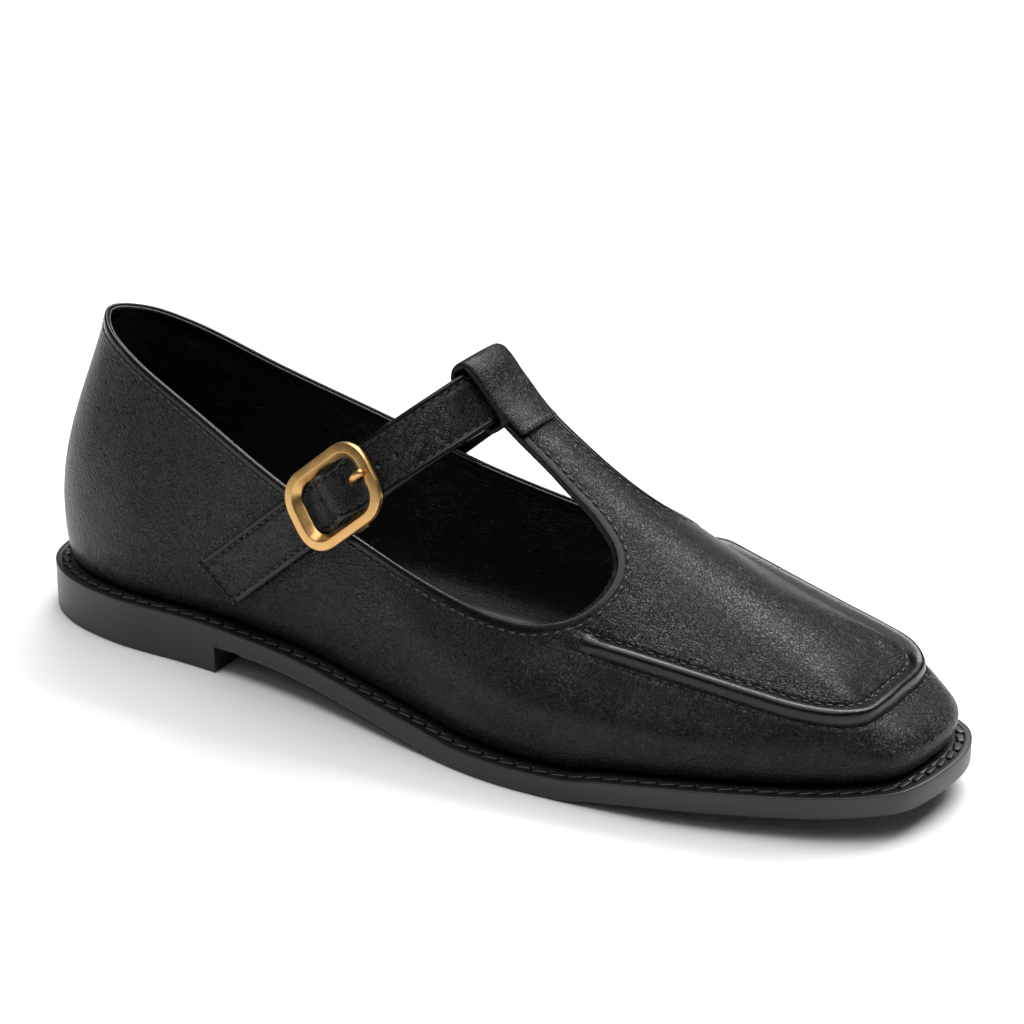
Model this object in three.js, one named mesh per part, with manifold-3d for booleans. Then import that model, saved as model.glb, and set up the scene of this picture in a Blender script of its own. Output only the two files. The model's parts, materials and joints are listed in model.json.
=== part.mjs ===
import * as THREE from "three";
import { mergeVertices } from "three/addons/utils/BufferGeometryUtils.js";
import Module from "manifold-3d";

// A right shoe in millimetres, +X to the toe, +Y to the inner side, +Z up.
// The origin is the middle of the heel's tread, on the ground.
const SOLE_LENGTH = 269.5;
const BALL_WIDTH = 86.5;
const BACK_HEIGHT = 84.8;
const HEEL_SEAT = 13.5;
const HEEL_BACK = 35;
const BREAST = 70;
const EDGE = 5.9;
const WELT = 2;
const WELT_REACH = 7;
const WELT_BITE = 3.2;
const GAP = 0.3;
const WALL = 2.1;
const INSOLE = 2.6;
const SEAM_WIDTH = 4.8;
const SEAM_RISE = 2.1;
const BAR_WIDTH = 15.4;
const STRAP_WIDTH = 15;
const STRAP_THICK = 2.4;
const LOOP_THICK = 1.8;
const BUCKLE_LENGTH = 29;
const BUCKLE_WIDTH = 22.4;
const BUCKLE_THICK = 2;

// Plan of the sole: share of length from the back, half widths as shares of the ball.
const OUTLINE = [
  { at: 0.0093, outer: 0.1364, inner: 0.148 },
  { at: 0.0297, outer: 0.2208, inner: 0.2243 },
  { at: 0.0668, outer: 0.2936, inner: 0.2867 },
  { at: 0.1336, outer: 0.3445, inner: 0.3191 },
  { at: 0.2301, outer: 0.3503, inner: 0.3237 },
  { at: 0.334, outer: 0.3769, inner: 0.3202 },
  { at: 0.4267, outer: 0.4266, inner: 0.3399 },
  { at: 0.5195, outer: 0.4879, inner: 0.3815 },
  { at: 0.6122, outer: 0.5353, inner: 0.4347 },
  { at: 0.705, outer: 0.526, inner: 0.4647 },
  { at: 0.7866, outer: 0.4948, inner: 0.452 },
  { at: 0.8609, outer: 0.4358, inner: 0.4 },
  { at: 0.9202, outer: 0.3699, inner: 0.341 },
  { at: 0.961, outer: 0.2983, inner: 0.2775 },
  { at: 0.987, outer: 0.2173, inner: 0.2069 },
];

// Top of the welt above the ground, as a share of the heel seat.
const FOOTBED = [
  { at: 0, height: 1 },
  { at: 0.2301, height: 1 },
  { at: 0.2968, height: 0.963 },
  { at: 0.3711, height: 0.8815 },
  { at: 0.4453, height: 0.7111 },
  { at: 0.5195, height: 0.5481 },
  { at: 0.564, height: 0.437 },
  { at: 0.6827, height: 0.437 },
  { at: 0.7236, height: 0.5704 },
  { at: 0.7978, height: 0.7259 },
  { at: 0.9091, height: 0.8667 },
  { at: 1.0056, height: 0.9926 },
];

// Height of the widest place of the wall, as a share of the back height.
const WALL_SWELL = [
  { at: 0, height: 0.3479 },
  { at: 0.1113, height: 0.342 },
  { at: 0.2301, height: 0.3243 },
  { at: 0.3711, height: 0.2948 },
  { at: 0.5195, height: 0.2535 },
  { at: 0.6308, height: 0.2358 },
  { at: 0.7421, height: 0.2358 },
  { at: 0.8349, height: 0.2358 },
  { at: 0.9091, height: 0.23 },
  { at: 1.0056, height: 0.2241 },
];

// Welt left bare outside the swell and outside the wall's foot, as shares of its reach.
const WELT_SHOW = [
  { at: 0, outer: 0.4571, inner: 0.4571, seat: 0.8 },
  { at: 0.0557, outer: 0.4857, inner: 0.4857, seat: 0.8125 },
  { at: 0.1484, outer: 0.4, inner: 0.3714, seat: 0.8441 },
  { at: 0.2301, outer: 0.4, inner: 0.2571, seat: 0.8835 },
  { at: 0.334, outer: 0.4462, inner: 0.1143, seat: 0.9305 },
  { at: 0.4453, outer: 0.4625, inner: 0.0429, seat: 0.9585 },
  { at: 0.538, outer: 0.4595, inner: 0.2, seat: 0.9674 },
  { at: 0.6308, outer: 0.457, inner: 0.3714, seat: 0.9721 },
  { at: 0.7421, outer: 0.4544, inner: 0.4571, seat: 0.9675 },
  { at: 0.8534, outer: 0.4571, inner: 0.4571, seat: 0.9714 },
  { at: 0.9462, outer: 0.4857, inner: 0.4857, seat: 1.0286 },
  { at: 1.0056, outer: 0.5143, inner: 0.5143, seat: 1.0714 },
];

// Middle line of the last: side as a share of the ball, height as a share of the back.
const SPINE = [
  { at: 0.1187, side: -0.0058, height: 1.2264 },
  { at: 0.2226, side: -0.0058, height: 1.2146 },
  { at: 0.334, side: -0.0015, height: 1.191 },
  { at: 0.4267, side: 0.0016, height: 1.1557 },
  { at: 0.5009, side: 0.0035, height: 1.0908 },
  { at: 0.538, side: 0.0049, height: 0.9906 },
  { at: 0.5603, side: 0.006, height: 0.934 },
  { at: 0.5974, side: 0.009, height: 0.8514 },
  { at: 0.6234, side: 0.0117, height: 0.7925 },
  { at: 0.6456, side: 0.014, height: 0.7465 },
  { at: 0.6679, side: 0.0159, height: 0.7052 },
  { at: 0.6865, side: 0.0169, height: 0.6722 },
  { at: 0.7087, side: 0.0173, height: 0.6344 },
  { at: 0.7421, side: 0.0137, height: 0.5896 },
  { at: 0.7978, side: 0.001, height: 0.5307 },
  { at: 0.8349, side: -0.0104, height: 0.4976 },
  { at: 0.8571, side: -0.0173, height: 0.4788 },
];

// Topline at the back, apron seam in front: half widths and heights on each side.
const LINE = [
  { at: 0.0816, outer: 0.104, inner: 0.1017, outerHeight: 0.9788, innerHeight: 0.9788 },
  { at: 0.1262, outer: 0.1769, inner: 0.1665, outerHeight: 0.9269, innerHeight: 0.9292 },
  { at: 0.2226, outer: 0.2451, inner: 0.2301, outerHeight: 0.8137, innerHeight: 0.8113 },
  { at: 0.334, outer: 0.3121, inner: 0.2913, outerHeight: 0.6816, innerHeight: 0.6922 },
  { at: 0.449, outer: 0.3584, inner: 0.3272, outerHeight: 0.5625, innerHeight: 0.5825 },
  { at: 0.538, outer: 0.3988, inner: 0.3676, outerHeight: 0.4976, innerHeight: 0.5118 },
  { at: 0.5937, outer: 0.4023, inner: 0.3815, outerHeight: 0.4646, innerHeight: 0.4823 },
  { at: 0.6382, outer: 0.3954, inner: 0.3815, outerHeight: 0.4458, innerHeight: 0.4741 },
  { at: 0.6976, outer: 0.3815, inner: 0.3468, outerHeight: 0.4127, innerHeight: 0.4788 },
  { at: 0.7421, outer: 0.3734, inner: 0.3179, outerHeight: 0.3986, innerHeight: 0.4623 },
  { at: 0.7904, outer: 0.3607, inner: 0.2948, outerHeight: 0.3821, innerHeight: 0.434 },
  { at: 0.8423, outer: 0.3468, inner: 0.274, outerHeight: 0.3632, innerHeight: 0.4009 },
  { at: 0.8905, outer: 0.3237, inner: 0.2543, outerHeight: 0.3443, innerHeight: 0.3703 },
  { at: 0.9239, outer: 0.2844, inner: 0.2266, outerHeight: 0.3349, innerHeight: 0.3491 },
  { at: 0.9432, outer: 0.215, inner: 0.1734, outerHeight: 0.3278, innerHeight: 0.3302 },
  { at: 0.9492, outer: 0.1156, inner: 0.104, outerHeight: 0.3278, innerHeight: 0.3267 },
];

// How far the wall's slope at that line follows the side below it.
const LEAN = [
  { at: 0.0557, share: 0.88 },
  { at: 0.2226, share: 0.8 },
  { at: 0.4453, share: 0.75 },
  { at: 0.5937, share: 0.65 },
  { at: 0.705, share: 0.55 },
  { at: 0.8905, share: 0.5 },
  { at: 0.9647, share: 0.5 },
];

// Mouth of the shoe from the waist round the throat to the end of the T-bar.
const THROAT = [
  { at: 0.601, outer: 0.4, inner: 0.395 },
  { at: 0.6245, outer: 0.392, inner: 0.385 },
  { at: 0.648, outer: 0.369, inner: 0.365 },
  { at: 0.6668, outer: 0.334, inner: 0.33 },
  { at: 0.679, outer: 0.29, inner: 0.288 },
  { at: 0.6861, outer: 0.2312, inner: 0.236 },
  { at: 0.6842, outer: 0.1792, inner: 0.188 },
  { at: 0.6742, outer: 0.141, inner: 0.148 },
  { at: 0.6601, outer: 0.1202, inner: 0.126 },
  { at: 0.6416, outer: 0.104, inner: 0.11 },
  { at: 0.62, outer: 0.0994, inner: 0.097 },
  { at: 0.5952, outer: 0.0936, inner: 0.088 },
  { at: 0.572, outer: 0.0925, inner: 0.084 },
];
const BAR_END = 0.5575;

// Buckle and loop on the sloping run of the strap: shares of the sole and of the back.
const BUCKLE_AT = { at: 0.41558, up: 0.71934 };
const LOOP_AT = { at: 0.52246, up: 1.01151 };

// Course of the strap: share of the way from the buckle to the loop, side as a share of
// the ball, and lean of its width.
const STRAP = [
  { way: -1.4474, side: -0.3457, lean: 0.02 },
  { way: -1.1053, side: -0.348, lean: 0.08 },
  { way: -0.7895, side: -0.3526, lean: 0.12 },
  { way: -0.5263, side: -0.3549, lean: 0.16 },
  { way: -0.3158, side: -0.3538, lean: 0.19 },
  { way: -0.1579, side: -0.3572, lean: 0.2 },
  { way: 0, side: -0.3676, lean: 0.2 },
  { way: 0.1579, side: -0.3572, lean: 0.2 },
  { way: 0.3158, side: -0.3526, lean: 0.2 },
  { way: 0.5263, side: -0.3168, lean: 0.16 },
  { way: 0.7368, side: -0.2428, lean: 0.1 },
  { way: 0.8816, side: -0.1618, lean: 0.04 },
  { way: 0.9711, side: -0.0925, lean: 0 },
  { way: 1, side: -0.0046, lean: 0 },
  { way: 0.9711, side: 0.0925, lean: 0 },
  { way: 0.8684, side: 0.1734, lean: -0.04 },
  { way: 0.7105, side: 0.2486, lean: -0.1 },
  { way: 0.4737, side: 0.3006, lean: -0.12 },
  { way: 0.2105, side: 0.3237, lean: -0.14 },
  { way: -0.0526, side: 0.3295, lean: -0.14 },
  { way: -0.3158, side: 0.3289, lean: -0.12 },
  { way: -0.5789, side: 0.3301, lean: -0.1 },
  { way: -0.7895, side: 0.3269, lean: -0.08 },
];
const BUCKLE_SIDE = -0.36763;

const HALF = Math.PI / 2;

// A smooth curve through the rows of a table, its value or its slope.
function through(rows, key) {
  const x = rows.map((r) => r.at * SOLE_LENGTH);
  const y = rows.map((r) => r[key]);
  const n = x.length;
  const m = y.map((v, i) => {
    const a = Math.max(i - 1, 0);
    const b = Math.min(i + 1, n - 1);
    return (y[b] - y[a]) / (x[b] - x[a]);
  });
  return (at, slope = false) => {
    const p = Math.min(Math.max(at, x[0]), x[n - 1]);
    let i = 0;
    while (i < n - 2 && x[i + 1] <= p) i += 1;
    const h = x[i + 1] - x[i];
    const t = (p - x[i]) / h;
    if (slope) {
      const side = (3 * t * t - 4 * t + 1) * m[i] + (3 * t * t - 2 * t) * m[i + 1];
      return (6 * (t * t - t) * (y[i] - y[i + 1])) / h + side;
    }
    const rise = 3 * t * t - 2 * t * t * t;
    const bend = h * (t * (1 - t) * (1 - t) * m[i] - t * t * (1 - t) * m[i + 1]);
    return y[i] * (1 - rise) + y[i + 1] * rise + bend;
  };
}

// A closed smooth loop through points, even in count between them.
function closedLoop(points, steps) {
  const curve = new THREE.CatmullRomCurve3(points, true, "centripetal");
  const count = points.length * steps;
  const out = [];
  for (let i = 0; i < count; i += 1) out.push(curve.getPoint(i / count));
  return out;
}

// A loop from rows that hold the outer and the inner side of one section.
function sectionLoop(back, rows, front, steps) {
  const side = (r, key, sign) => {
    const z = (r[key + "Height"] || 0) * BACK_HEIGHT;
    return new THREE.Vector3(r.at * SOLE_LENGTH, sign * r[key] * BALL_WIDTH, z);
  };
  const outer = rows.map((r) => side(r, "outer", -1));
  const inner = rows.map((r) => side(r, "inner", 1)).reverse();
  return closedLoop([back, ...outer, front, ...inner], steps);
}

// The loop moved inward by a reach that depends on the place along the shoe.
function inset(loop, reach) {
  const n = loop.length;
  return loop.map((p, i) => {
    const a = loop[(i + n - 1) % n];
    const b = loop[(i + 1) % n];
    const tx = b.x - a.x;
    const ty = b.y - a.y;
    const s = reach(p.x, p.y) / Math.hypot(tx, ty);
    return new THREE.Vector3(p.x - ty * s, p.y + tx * s, p.z);
  });
}

// Where a ray in plan leaves the loop: distance and height.
function leave(loop, origin, direction) {
  let best = null;
  for (let i = 0; i < loop.length; i += 1) {
    const a = loop[i];
    const b = loop[(i + 1) % loop.length];
    const ax = a.x - origin.x;
    const ay = a.y - origin.y;
    const sx = b.x - a.x;
    const sy = b.y - a.y;
    const cross = direction.x * sy - direction.y * sx;
    if (Math.abs(cross) < 1e-12) continue;
    const reach = (ax * sy - ay * sx) / cross;
    const part = (ax * direction.y - ay * direction.x) / cross;
    if (part < -1e-9 || part > 1 + 1e-9 || reach <= 0) continue;
    if (!best || reach > best.reach) best = { reach, height: a.z + (b.z - a.z) * part };
  }
  return best;
}

const footbed = through(FOOTBED, "height");
const seat = (x) => footbed(x) * HEEL_SEAT;
const swellOuter = through(WELT_SHOW, "outer");
const swellInner = through(WELT_SHOW, "inner");
const seatShow = through(WELT_SHOW, "seat");
const swellHeight = through(WALL_SWELL, "height");
const spineSide = through(SPINE, "side");
const spineHeight = through(SPINE, "height");
const leanShare = through(LEAN, "share");
const SPINE_BACK = SPINE[0].at * SOLE_LENGTH;
const SPINE_FRONT = SPINE[SPINE.length - 1].at * SOLE_LENGTH;

const heelTip = new THREE.Vector3(0, 0.5, 0);
const toeTip = new THREE.Vector3(SOLE_LENGTH + 0.5, 5.5, 0);
const soleLoop = sectionLoop(heelTip, OUTLINE, toeTip, 4);
const swellShow = (x, y) => (y < 0 ? swellOuter(x) : swellInner(x)) * WELT_REACH;
const swellLoop = inset(soleLoop, swellShow);
const seatLoop = inset(soleLoop, (x) => seatShow(x) * WELT_REACH);
const lineBack = new THREE.Vector3(16.5, 0, BACK_HEIGHT);
const lineFront = new THREE.Vector3(0.95 * SOLE_LENGTH, 0, 0.3278 * BACK_HEIGHT);
const lineLoop = sectionLoop(lineBack, LINE, lineFront, 8);

// One column of the upper: the ray from the spine and the marks its profile passes.
function column(x, angle) {
  const origin = { x, y: spineSide(x) * BALL_WIDTH };
  const direction = { x: Math.cos(angle), y: Math.sin(angle) };
  const foot = leave(seatLoop, origin, direction).reach;
  const wide = leave(swellLoop, origin, direction).reach;
  const line = leave(lineLoop, origin, direction);
  const c = { origin, direction, foot, wide, line: line.reach, lineZ: line.height };
  c.wideZ = swellHeight(x + direction.x * wide) * BACK_HEIGHT;
  c.footZ = seat(x + direction.x * foot) + GAP;
  c.topZ = spineHeight(x) * BACK_HEIGHT;
  c.topSlope = spineHeight(x, true) * BACK_HEIGHT * direction.x;
  const low = Math.atan2(c.lineZ - c.wideZ, c.wide - c.line);
  const high = Math.atan2(c.topZ - c.lineZ, c.line);
  const share = leanShare(x + direction.x * c.line);
  c.lineSlope = -Math.tan(share * low + (1 - share) * high);
  return c;
}

// A cubic through four poles.
function pole(p, t) {
  const s = 1 - t;
  const w = [s * s * s, 3 * t * s * s, 3 * t * t * s, t * t * t];
  return [0, 1].map((k) => w[0] * p[0][k] + w[1] * p[1][k] + w[2] * p[2][k] + w[3] * p[3][k]);
}

// Profile of a column: 0 at the seat, 1 at the swell, 2 at the line, 3 at the spine.
function profile(c, v) {
  if (v <= 1) {
    const h = c.wideZ - c.footZ;
    const e = c.wide - c.foot;
    const low = [c.foot + 0.55 * e, c.footZ + 0.04 * h];
    return pole([[c.foot, c.footZ], low, [c.wide, c.wideZ - 0.55 * h], [c.wide, c.wideZ]], v);
  }
  if (v <= 2) {
    const h = c.lineZ - c.wideZ;
    const k = 0.33 * Math.hypot(h, c.wide - c.line) / Math.hypot(1, c.lineSlope);
    const high = [c.line + k, c.lineZ + k * c.lineSlope];
    return pole([[c.wide, c.wideZ], [c.wide, c.wideZ + 0.38 * h], high, [c.line, c.lineZ]], v - 1);
  }
  const q = 3 - v;
  const rise = 3 * q * q - 2 * q * q * q;
  const bend = c.line * (q * (1 - q) * (1 - q) * c.topSlope - q * q * (1 - q) * c.lineSlope);
  return [c.line * q, c.topZ * (1 - rise) + c.lineZ * rise + bend];
}

function place(c, r, z) {
  return new THREE.Vector3(c.origin.x + c.direction.x * r, c.origin.y + c.direction.y * r, z);
}

// Height of the upper's top above a point in plan, on the straight part of the spine.
function topHeight(x, y) {
  const c = column(x, y < spineSide(x) * BALL_WIDTH ? -HALF : HALF);
  const r = Math.abs(y - c.origin.y);
  return profile(c, Math.max(2, 3 - r / c.line))[1];
}

// All columns round the shoe, from the back along the outer side to the toe and back.
function roundTheShoe(fan, sides, front) {
  const out = [];
  const add = (x, angle) => out.push(column(x, angle));
  const run = SPINE_FRONT - SPINE_BACK;
  for (let k = 0; k < fan; k += 1) add(SPINE_BACK, Math.PI + (HALF * k) / fan);
  for (let k = 0; k < sides; k += 1) add(SPINE_BACK + (run * k) / sides, -HALF);
  for (let k = 0; k < 2 * front; k += 1) add(SPINE_FRONT, -HALF + (HALF * k) / front);
  for (let k = 0; k < sides; k += 1) add(SPINE_FRONT - (run * k) / sides, HALF);
  for (let k = 0; k < fan; k += 1) add(SPINE_BACK, HALF + (HALF * k) / fan);
  return out;
}

// A mesh builder that shares its points by name of row and column.
class Shell {
  constructor() {
    this.points = [];
    this.faces = [];
  }

  add(p) {
    this.points.push(p);
    return this.points.length - 1;
  }

  ring(points) {
    return points.map((p) => this.add(p));
  }

  tri(a, b, c) {
    this.faces.push([a, b, c]);
  }

  // Quads between two rings of one length.
  band(low, high, closed = true) {
    const n = low.length;
    const last = closed ? n : n - 1;
    for (let i = 0; i < last; i += 1) {
      const j = (i + 1) % n;
      this.tri(low[i], low[j], high[j]);
      this.tri(low[i], high[j], high[i]);
    }
  }

  // A cap of strips across a ring whose points pair off left and right.
  cap(ring, up) {
    const n = ring.length;
    const put = (a, b, c) => (up ? this.tri(a, b, c) : this.tri(a, c, b));
    for (let i = 0; i < n / 2; i += 1) {
      const a = ring[i];
      const b = ring[i + 1];
      const c = ring[(n - i) % n];
      const d = ring[n - i - 1];
      if (a !== c) put(a, b, c);
      if (b !== d) put(b, d, c);
    }
  }

  // The closed mesh, its faces turned outward.
  geometry() {
    let volume = 0;
    for (const [a, b, c] of this.faces) {
      const side = this.points[b].clone().cross(this.points[c]);
      volume += this.points[a].dot(side);
    }
    const flat = [];
    for (const [a, b, c] of this.faces) {
      const turned = volume < 0 ? [a, c, b] : [a, b, c];
      for (const i of turned) flat.push(...this.points[i].toArray());
    }
    const g = new THREE.BufferGeometry();
    g.setAttribute("position", new THREE.Float32BufferAttribute(flat, 3));
    return tidy(g);
  }
}

// Merged vertices without empty faces.
function tidy(g) {
  const bare = g.clone();
  bare.deleteAttribute("normal");
  bare.deleteAttribute("uv");
  const merged = mergeVertices(bare, 1e-4);
  const index = merged.index.array;
  const keep = [];
  for (let i = 0; i < index.length; i += 3) {
    const [a, b, c] = [index[i], index[i + 1], index[i + 2]];
    if (a !== b && b !== c && c !== a) keep.push(a, b, c);
  }
  merged.setIndex(keep);
  return merged;
}

const wasm = await Module();
wasm.setup();

function solid(g) {
  const merged = tidy(g);
  return new wasm.Manifold(
    new wasm.Mesh({
      numProp: 3,
      vertProperties: new Float32Array(merged.attributes.position.array),
      triVerts: new Uint32Array(merged.index.array),
    }),
  );
}

function fromSolid(s) {
  const mesh = s.getMesh();
  const g = new THREE.BufferGeometry();
  const xyz = [];
  for (let i = 0; i < mesh.vertProperties.length; i += mesh.numProp) {
    xyz.push(mesh.vertProperties[i], mesh.vertProperties[i + 1], mesh.vertProperties[i + 2]);
  }
  g.setAttribute("position", new THREE.Float32BufferAttribute(xyz, 3));
  g.setIndex(Array.from(mesh.triVerts));
  return g;
}

const group = new THREE.Group();
group.name = "buckle_shoe";

const LOOKS = {
  leather: { color: 0x17171a, roughness: 0.48, metalness: 0 },
  lining: { color: 0x0f0f11, roughness: 0.7, metalness: 0 },
  edge: { color: 0x1b1b1d, roughness: 0.42, metalness: 0 },
  metal: { color: 0xb98a45, roughness: 0.34, metalness: 0.9 },
};

function put(name, geometry, look) {
  geometry.translate(-HEEL_BACK, 0, 0);
  const shaded = geometry.toNonIndexed();
  shaded.computeVertexNormals();
  const mesh = new THREE.Mesh(shaded, new THREE.MeshStandardMaterial(LOOKS[look]));
  mesh.name = name;
  group.add(mesh);
}

const at = (loop, height) => loop.map((p) => new THREE.Vector3(p.x, p.y, height(p.x)));

// Outsole: a rim for the welt, a raised middle, the tread flat at the heel and the ball.
const biteLoop = inset(soleLoop, (x) => (seatShow(x) + 0.46) * WELT_REACH);
const tread = (x) => (x < BREAST + 8 ? HEEL_SEAT - EDGE : Math.max(0, seat(x) - EDGE));
{
  const s = new Shell();
  const under = s.ring(at(soleLoop, tread));
  const rim = s.ring(at(soleLoop, (x) => seat(x) - WELT - GAP));
  const step = s.ring(at(inset(biteLoop, () => GAP), (x) => seat(x) - WELT - GAP));
  const top = s.ring(at(inset(biteLoop, () => GAP), seat));
  s.band(under, rim);
  s.band(rim, step);
  s.band(step, top);
  s.cap(top, true);
  s.cap(under, false);
  put("outsole", s.geometry(), "edge");
}

// Welt: the strip round the edge, from the sole's rim to just under the wall.
{
  const s = new Shell();
  const low = s.ring(at(soleLoop, (x) => seat(x) - WELT));
  const high = s.ring(at(soleLoop, seat));
  const inHigh = s.ring(at(biteLoop, seat));
  const inLow = s.ring(at(biteLoop, (x) => seat(x) - WELT));
  s.band(low, high);
  s.band(high, inHigh);
  s.band(inHigh, inLow);
  s.band(inLow, low);
  put("welt", s.geometry(), "edge");
}

// Heel: a block under the flat seat, its outline the sole's own, cut square at the breast.
{
  const n = soleLoop.length;
  const cut = [];
  for (let i = 0; i <= n / 2; i += 1) {
    if (soleLoop[i].x < BREAST - 1) cut.push(i);
  }
  const outer = cut.map((i) => soleLoop[i]);
  const inner = cut.slice(1).map((i) => soleLoop[n - i]);
  const across = (side) => {
    const line = leave(soleLoop, { x: BREAST, y: 0 }, { x: 0, y: side });
    return new THREE.Vector3(BREAST, side * line.reach, 0);
  };
  const plan = [...outer, across(-1), across(1), ...inner.reverse()];
  const s = new Shell();
  const low = s.ring(plan.map((p) => new THREE.Vector3(p.x, p.y, 0)));
  const high = s.ring(plan.map((p) => new THREE.Vector3(p.x, p.y, HEEL_SEAT - EDGE)));
  s.band(low, high);
  for (let i = 1; i < plan.length - 1; i += 1) {
    s.tri(low[0], low[i + 1], low[i]);
    s.tri(high[0], high[i], high[i + 1]);
  }
  put("heel", s.geometry(), "edge");
}

// Insole: inside the wall all round, a little above the welt.
{
  const lowLoop = inset(soleLoop, (x) => seatShow(x) * WELT_REACH + WALL + 0.8);
  const highLoop = inset(soleLoop, (x) => seatShow(x) * WELT_REACH + WALL + 0.4);
  const s = new Shell();
  const low = s.ring(at(lowLoop, (x) => seat(x) + GAP));
  const high = s.ring(at(highLoop, (x) => seat(x) + GAP + INSOLE));
  s.band(low, high);
  s.cap(high, true);
  s.cap(low, false);
  put("insole", s.geometry(), "lining");
}

// Upper: outer skin with the apron seam, inner skin one wall inside, mouth cut through both.
const smooth = (a, b, x) => {
  const t = Math.min(Math.max((x - a) / (b - a), 0), 1);
  return t * t * (3 - 2 * t);
};
const seamRise = (x, y) => SEAM_RISE * smooth(y < 0 ? 183 : 186, y < 0 ? 203 : 200, x);

function skin(columns, rows) {
  const lines = columns.map((c) => {
    const fine = [];
    for (let i = 0; i <= 60; i += 1) fine.push([...profile(c, (3 * i) / 60), (3 * i) / 60]);
    const arc = [0];
    for (let i = 1; i <= 60; i += 1) {
      arc.push(arc[i - 1] + Math.hypot(fine[i][0] - fine[i - 1][0], fine[i][1] - fine[i - 1][1]));
    }
    const over = (v, more) => {
      const want = arc[Math.round((v * 60) / 3)] + more;
      let i = 0;
      while (i < 59 && arc[i + 1] < want) i += 1;
      return (3 * (i + Math.min(1, (want - arc[i]) / (arc[i + 1] - arc[i])))) / 60;
    };
    return rows.map((r) => {
      const v = r.more === undefined ? r.v : over(2, r.more);
      const raised = r.from !== undefined;
      const row = raised ? THREE.MathUtils.lerp(over(2, r.from), 3, r.v) : v;
      const [reach, z] = profile(c, row);
      return place(c, reach, z);
    });
  });
  return lines;
}

function normals(lines, columns) {
  const n = lines.length;
  return lines.map((line, i) =>
    line.map((p, j) => {
      if (j === line.length - 1) {
        const slope = spineHeight(columns[i].origin.x, true) * BACK_HEIGHT;
        return new THREE.Vector3(-slope, 0, 1).normalize();
      }
      const before = lines[(i + n - 1) % n][j];
      const after = lines[(i + 1) % n][j];
      const low = line[Math.max(j - 1, 0)];
      const high = line[j + 1];
      return after.clone().sub(before).cross(high.clone().sub(low)).normalize();
    }),
  );
}

{
  const columns = roundTheShoe(8, 21, 14);
  const rowsOut = [0, 0.34, 0.67, 1, 1.33, 1.66, 2].map((v) => ({ v }));
  for (const more of [0.9, 2.4, 3.9, 4.8]) rowsOut.push({ more });
  for (const v of [0.17, 0.36, 0.56, 0.78, 1]) rowsOut.push({ from: SEAM_WIDTH, v });
  const out = skin(columns, rowsOut);
  const outNormals = normals(out, columns);
  const rise = (more) => Math.sin((Math.PI * more) / SEAM_WIDTH) ** 0.7;
  out.forEach((line, i) =>
    rowsOut.forEach((r, j) => {
      if (r.more > 0 && r.more < SEAM_WIDTH) {
        line[j].addScaledVector(outNormals[i][j], seamRise(line[j].x, line[j].y) * rise(r.more));
      }
    }),
  );
  const rowsIn = [0, 0.5, 1, 1.5, 2].map((v) => ({ v }));
  for (const v of [0.33, 0.67, 1]) rowsIn.push({ from: 2.4, v });
  const inner = skin(columns, rowsIn);
  const innerNormals = normals(inner, columns);
  inner.forEach((line, i) =>
    line.forEach((p, j) => {
      if (j === 0) {
        p.x -= columns[i].direction.x * WALL;
        p.y -= columns[i].direction.y * WALL;
      } else p.addScaledVector(innerNormals[i][j], -WALL);
    }),
  );
  const s = new Shell();
  const rings = (lines, j) => s.ring(lines.map((line) => line[j]));
  const outRings = rowsOut.map((r, j) => rings(out, j));
  const inRings = rowsIn.map((r, j) => rings(inner, j));
  for (let j = 0; j < outRings.length - 1; j += 1) s.band(outRings[j], outRings[j + 1]);
  for (let j = 0; j < inRings.length - 1; j += 1) s.band(inRings[j + 1], inRings[j]);
  s.band(inRings[0], outRings[0]);
  const dome = solid(s.geometry());

  const apex = new THREE.Vector3(112, -0.5, 18);
  const mouth = [];
  const backEnd = THROAT[0].at * SOLE_LENGTH - 2;
  for (const p of lineLoop) {
    if (p.y <= 0 && p.x < backEnd) mouth.push(p.clone());
  }
  const tail = lineLoop.filter((p) => p.y > 0 && p.x < backEnd);
  const onTop = (r, side) => {
    const x = r.at * SOLE_LENGTH;
    const y = side < 0 ? -r.outer * BALL_WIDTH : r.inner * BALL_WIDTH;
    return new THREE.Vector3(x, y, topHeight(x, y));
  };
  const lip = (side) => new THREE.CatmullRomCurve3(THROAT.map((r) => onTop(r, side))).getPoints(26);
  const corner = { ...THROAT[THROAT.length - 1], at: BAR_END };
  mouth.push(...lip(-1), onTop(corner, -1), onTop(corner, 1), ...lip(1).reverse(), ...tail);
  const plan = mouth.map((p) => {
    const k = 1 / (p.z - apex.z);
    return new THREE.Vector2((p.x - apex.x) * k, (p.y - apex.y) * k);
  });
  const cutter = new Shell();
  const cone = (p, k) => new THREE.Vector3(apex.x + k * p.x, apex.y + k * p.y, apex.z + k);
  const level = (k) => cutter.ring(plan.map((p) => cone(p, k)));
  const near = level(2.5);
  const far = level(120);
  cutter.band(near, far);
  for (const [a, b, c] of THREE.ShapeUtils.triangulateShape(plan, [])) {
    cutter.tri(far[a], far[b], far[c]);
    cutter.tri(near[a], near[c], near[b]);
  }
  const opening = solid(cutter.geometry());
  put("upper", fromSolid(dome.subtract(opening)), "leather");
}

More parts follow.
